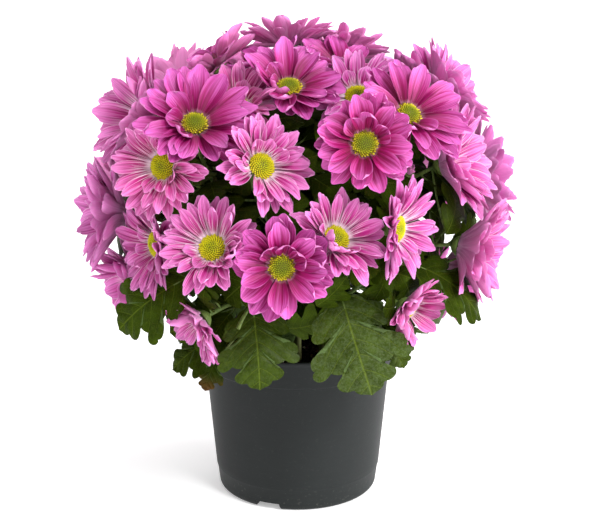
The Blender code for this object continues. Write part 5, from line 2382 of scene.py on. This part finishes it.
@dataclass
class Pot:
    """The moulded nursery pot, turned from a finer profile than its node, with the same notches."""

    height: float = 106 * MM
    rim_radius: float = 65 * MM
    band_radius: float = 63.6 * MM
    band_foot: float = 88 * MM
    wall_top: float = 61.2 * MM
    wall_foot: float = 53.2 * MM
    step_height: float = 15 * MM
    step: float = 0.5 * MM
    corner: float = 4 * MM
    wall: float = 1.6 * MM
    recess: float = 5 * MM
    ring_width: float = 6 * MM
    sides: int = 160
    notches: tuple[int, ...] = (-22, 98, 218)
    notch_size: tuple[float, float, float] = (20 * MM, 22 * MM, 9.2 * MM)
    drain_radius: float = 4 * MM
    drain_circle: float = 26 * MM

    def radius(self, height: float) -> float:
        """The wall's outer radius at a height."""
        return self.wall_foot + (self.wall_top - self.wall_foot) * height / self.band_foot

    @staticmethod
    def _beside(
        radius: float, height: float, offsets: Sequence[tuple[float, float]]
    ) -> list[tuple[float, float]]:
        """Points of the section, given in millimetres out and up from one place."""
        return [(radius + out * MM, height + up * MM) for out, up in offsets]

    def profile(self) -> list[tuple[float, float]]:
        """The section, from the inside of the rim down the outside and up the inside again.

        Returns:
            The points as (radius, height).
        """
        lip = [(-2.2, -0.6), (-1.8, -0.1), (-1.2, 0), (-0.4, -0.15), (-0.05, -0.6), (0, -1.3), (-0.15, -2.0)]
        rim = self._beside(self.rim_radius, self.height, lip)
        rim += self._beside(self.band_radius, self.height, [(0.35, -2.8), (0.05, -3.6)])
        band = self._beside(self.band_radius, self.band_foot, [(0, 1.2), (-0.15, 0.4), (-0.6, 0)])
        band += self._beside(self.wall_top, self.band_foot, [(0.5, -0.25), (0.05, -0.9), (-0.15, -2.4)])
        wall = [(self.radius(height * MM), height * MM) for height in (74, 60, 46, 32, 20)]
        at = self.step_height
        seam = self._beside(self.radius(at), at, [(0.02, 0.5), (-0.12, 0.1)])
        seam.append((self.radius(at) - self.step, at - 0.5 * MM))
        foot = self.wall_foot - self.step
        corner = [
            (foot - self.corner * (1 - math.cos(turn)), self.corner * (1 - math.sin(turn)))
            for turn in (math.pi / 2 * step / 7 for step in range(8))
        ]
        ring = foot - self.corner - self.ring_width
        floor = self.recess + self.wall
        inside = [
            (ring + 0.3 * MM, 0),
            (ring, 0.3 * MM),
            (ring - 1 * MM, self.recess),
            (0, self.recess),
            (0, floor),
            (self.radius(floor) - self.wall - self.step - 2 * MM, floor),
            (self.radius(floor) - self.wall - self.step, floor + 2 * MM),
            (self.wall_top - self.wall, self.band_foot - 0.8 * MM),
            (self.band_radius - 2.2 * MM, self.band_foot + 0.8 * MM),
        ]
        return [*rim, *band, *wall, *seam, *corner, *inside]

    def cutter(self, form: bmesh.types.BMesh, matrix: Matrix) -> bpy.types.Object:
        """An object of this form at this place, to cut with."""
        bmesh.ops.transform(form, matrix=matrix, verts=form.verts)
        return linked("cutter", mesh_of(form, "cutter"))

    def finish(self, materials: Finishes) -> None:
        """Turns the pot, cuts its notches and drain holes, and makes it a piece.

        Args:
            materials: The finished materials.
        """
        pot = linked("pot_turned", mesh_of(turned(self.profile(), self.sides), "pot"))
        cutters = []
        for azimuth in self.notches:
            form = bmesh.new()
            bmesh.ops.create_cube(form, size=1)
            for vert in form.verts:
                wide, deep, high = self.notch_size
                vert.co *= Vector((wide * (1.0 if vert.co.z < 0 else 0.8), deep, high))
            turn = Matrix.Rotation(math.radians(azimuth), 4, "Z")
            cutters.append(self.cutter(form, turn @ Matrix.Translation((0, -self.wall_foot, 0))))
            form = bmesh.new()
            bmesh.ops.create_cone(
                form, cap_ends=True, segments=24,
                radius1=self.drain_radius, radius2=self.drain_radius, depth=20 * MM,
            )
            turn = Matrix.Rotation(math.radians(azimuth + 60), 4, "Z")
            cutters.append(self.cutter(form, turn @ Matrix.Translation((0, -self.drain_circle, 0))))
        for cutter in cutters:
            cut = pot.modifiers.new("Cut", "BOOLEAN")
            cut.operation = "DIFFERENCE"
            cut.solver = "MANIFOLD"
            cut.object = cutter
        bpy.context.view_layer.update()
        graph = bpy.context.evaluated_depsgraph_get()
        made = bpy.data.meshes.new_from_object(pot.evaluated_get(graph))
        for helper in (pot, *cutters):
            bpy.data.objects.remove(helper)
        made.materials.clear()
        made.materials.append(materials.plastic)
        made.polygons.foreach_set("material_index", np.zeros(len(made.polygons), np.int32))
        made.shade_smooth()
        made.set_sharp_from_angle(angle=math.radians(38))
        add_piece("pot_shell", made, Slot.PLASTIC, "pot")


class CrumbTree(GeometryGraph):
    """Crumbs of peat scattered over the surface that the tree starts from."""

    def __init__(self) -> None:
        """Writes the tree."""
        kinds = {
            "Density": "Float",
            "Least": "Float",
            "Most": "Float",
            "Seed": "Int",
            "Material": "Material",
        }
        super().__init__("crumbs", kinds)
        top = self.parts(self.node("GeometryNodeInputNormal").outputs[0])[2].math("GREATER_THAN", 0.6)
        seed = self.given("Seed")
        inputs = {
            "Mesh": self.start.outputs["Geometry"],
            "Selection": top,
            "Density": self.given("Density"),
            "Seed": seed,
        }
        spread = self.node("GeometryNodeDistributePointsOnFaces", None, inputs).outputs[0]
        turn = self.chance((-3.1, -3.1, -3.1), (3.1, 3.1, 3.1), seed)
        stretch = self.chance((0.5, 0.4, 0.5), (1.7, 1.0, 1.1), seed + 1.0)
        draw = Field(self, self.chance(0.0, 1.0, seed + 2.0))
        size = self.given("Least") + draw**3.0 * (self.given("Most") - self.given("Least"))
        scale = self.node("ShaderNodeVectorMath", {"operation": "SCALE"}, {0: stretch, "Scale": size})
        crumbs = self.set_out(spread, turn, scale.outputs[0])
        crumbs = self.marked(crumbs, "draw", self.chance(0.0, 1.0, seed + 3.0))
        self.finish(self.with_start(crumbs), smooth=False)


@dataclass
class Peat:
    """Lumpy peat that fills the pot, strewn with crumbs."""

    top: float = 91 * MM
    radius: float = 58.2 * MM
    shoulder: float = 84 * MM
    foot: float = 7 * MM
    foot_radius: float = 48.4 * MM
    rings: int = 26
    sides: int = 96
    bump: float = 1.6 * MM
    sag: float = 1.5 * MM
    density: float = 210_000.0

    def relief(self, x: float, y: float) -> float:
        """How high the peat's lumps stand at a place.

        Args:
            x: How far to the right it lies.
            y: How far back it lies.

        Returns:
            The height.
        """
        lumps = self.bump * math.sin(x * 190) * math.cos(y * 230)
        small = 0.7 * MM * math.sin(x * 830 + 2) * math.sin(y * 760)
        small = small + 0.5 * MM * math.sin(x * 1900 + y * 1500)
        return lumps + small - self.sag * (math.hypot(x, y) / self.radius) ** 2

    def finish(self, materials: Finishes) -> None:
        """Makes the filling a piece.

        Args:
            materials: The finished materials.
        """
        rows = [(self.radius * ring / self.rings, self.top) for ring in range(self.rings + 1)]
        wall = [(self.radius, self.shoulder), (self.foot_radius, self.foot), (0, self.foot)]
        form = turned([*rows, *wall], self.sides)
        for vert in form.verts:
            if vert.co.z > self.top - WELD:
                vert.co.z += self.relief(vert.co.x, vert.co.y)
        mesh = mesh_of(form, "peat")
        values = {
            "Density": self.density,
            "Least": 0.45 * MM,
            "Most": 2.1 * MM,
            "Seed": 7,
            "Material": materials.peat,
        }
        add_piece("peat_filling", CrumbTree().run(mesh, values), Slot.PEAT, "soil")


@dataclass
class Studio:
    """The floor, the light and the camera at the photograph's angle."""

    eye: Vector = Vector((0.0016, -0.95, 0.42))
    pitch: float = 15.75
    lens: float = 90.6
    floor_radius: float = 14.0
    world_strength: float = 0.27
    suns: tuple[tuple[str, tuple[float, float, float], float, float], ...] = (
        ("key", (0.62, -0.72, 0.9), 2.6, 18.0),
        ("side", (1.0, -0.2, 0.08), 3.6, 24.0),
        ("fill", (-1.0, -0.6, 0.7), 0.3, 50.0),
        ("front", (0.1, -1.0, 0.3), 0.9, 60.0),
        ("back", (0.1, 0.5, 1.0), 1.7, 60.0),
    )

    def build(self, materials: Finishes) -> None:
        """Sets up floor, world, lamps and camera.

        Args:
            materials: The finished materials.
        """
        scene = bpy.context.scene
        form = bmesh.new()
        bmesh.ops.create_circle(form, cap_ends=True, segments=64, radius=self.floor_radius)
        mesh = mesh_of(form, "floor")
        mesh.materials.append(materials.floor)
        floor = linked("floor", mesh)
        world = bpy.data.worlds.new("studio")
        scene.world = world
        world.use_nodes = True
        background = world.node_tree.nodes["Background"]
        background.inputs["Color"].default_value = (1.0, 1.0, 1.0, 1)
        background.inputs["Strength"].default_value = self.world_strength
        for name, direction, strength, softness in self.suns:
            light = bpy.data.lights.new(name, "SUN")
            light.energy = strength
            light.angle = math.radians(softness)
            sun = linked(name, light)
            sun.rotation_euler = Vector(direction).to_track_quat("Z", "Y").to_euler()
        data = bpy.data.cameras.new("camera")
        data.lens = self.lens
        data.clip_end = 4 * self.floor_radius
        camera = linked("camera", data)
        camera.location = self.eye
        camera.rotation_euler = (math.radians(90 - self.pitch), 0, 0)
        scene.camera = camera
        scene.view_settings.view_transform = "Standard"


@dataclass
class Plant:
    """The whole plant, built bloom by bloom and stem by stem around the frame's own."""

    materials: Finishes
    stem_count: int = 6
    lining_places: int = 110
    lining_lowest: float = -0.5
    lining_highest: float = 0.96
    front_facing: float = -0.55
    front_depths: tuple[float, ...] = (0.78, 0.62)
    side_depths: tuple[float, ...] = (0.92, 0.76)

    def line_crown(self, stems: list[Stem], occupied: Occupied) -> None:
        """Lines the crown with leaves behind the blooms, evenly spread by the golden angle.

        They lie deeper at the front, where the inside of the crown is in shade.

        Args:
            stems: The stems that the leaves grow from.
            occupied: Everything already placed.
        """
        golden = math.pi * (3 - math.sqrt(5))
        heart, reach = Stem.crown_heart, Stem.crown_reach
        grown = 0
        for index in range(self.lining_places):
            share = (index + 0.5) / self.lining_places
            height = self.lining_lowest + (self.lining_highest - self.lining_lowest) * share
            wide = math.sqrt(1 - height * height)
            out = Vector((wide * math.cos(index * golden), wide * math.sin(index * golden), height))
            depths = self.front_depths if out.y < self.front_facing else self.side_depths
            for depth in depths:
                place = heart + Vector(a * b * depth for a, b in zip(out, reach))
                stem = min(stems, key=lambda one: (one.nearest_line_point(place) - place).length)
                if stem.fill_gap(place, out, occupied):
                    grown += 1
                    break
        LOG.info("%d leaves line the crown", grown)

    def read(self) -> tuple[list[BloomShape], list[StemShape]]:
        """Reads every bloom and stem from the frame.

        Returns:
            The blooms in the order of their numbers, and the stems.
        """
        blooms = []
        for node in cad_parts:
            if node.startswith(("petals_", "bloom_")):
                blooms.append(BloomShape.read(int(node[-2:]), node))
        blooms.sort(key=lambda bloom: bloom.number)
        stems = [StemShape(number) for number in range(1, self.stem_count + 1)]
        for bloom in blooms:
            min(stems, key=lambda stem: stem.calyx_gap(bloom)).carried.append(bloom)
        for stem in stems:
            stem.read()
        return blooms, stems

    def build(self) -> None:
        """Builds the blooms, discs and stems as pieces."""
        shapes, stem_shapes = self.read()
        occupied = Occupied()
        blooms = [Bloom(shape) for shape in shapes]
        stems = [Stem(shape, shapes) for shape in stem_shapes]
        for stem in stems:
            LOG.info("%s: %d leaves", stem.name, len(stem.shape.leaves))
            stem.place_frame_leaves(occupied)
            stem.place_stalks(occupied)
        for sight in EXTRA_LEAVES:
            stem = stems[sight.stem - 1]
            base, tip = sight.base * MM, sight.tip * MM
            leaf = Leaf(base, tip, sight.facing, stem.nearest_line_point(base), seed=sight.stem)
            leaf.withered = sight.withered
            stem.add_leaf(leaf, occupied)
        for bud in BUDS:
            stems[bud.stem - 1].add_bud(bud)
            bud.finish(self.materials)
        for bloom in blooms:
            bloom.grow_frame_petals(occupied)
        for bloom in blooms:
            bloom.grow_more_petals(occupied)
        self.line_crown(stems, occupied)
        for stem in stems:
            LOG.info("%s: %d small leaves", stem.name, stem.add_small_leaves(occupied))
        florets = FloretTree()
        for bloom in blooms:
            bloom.finish(self.materials)
            Disc(bloom.shape).finish(florets, self.materials)
        sweep = SweepTree()
        for stem in stems:
            stem.finish(sweep, self.materials)


def log_totals() -> None:
    """Reports how many triangles the scene has, the CAD nodes and the floor included."""
    scene = bpy.context.scene
    meshes = [piece.data for piece in scene.objects if piece.type == "MESH" and piece.data.users]
    counts = {mesh.name: sum(len(face.vertices) - 2 for face in mesh.polygons) for mesh in meshes}
    LOG.info("%d triangles in all, at most %d in one piece", sum(counts.values()), max(counts.values()))


def main() -> None:
    """Builds every piece in order and dresses the scene."""
    logging.basicConfig(level=logging.INFO, format="%(message)s", stream=sys.stdout)
    materials = Finishes()
    Studio().build(materials)
    Pot().finish(materials)
    Peat().finish(materials)
    Plant(materials).build()
    log_totals()


if __name__ == "__main__":
    main()
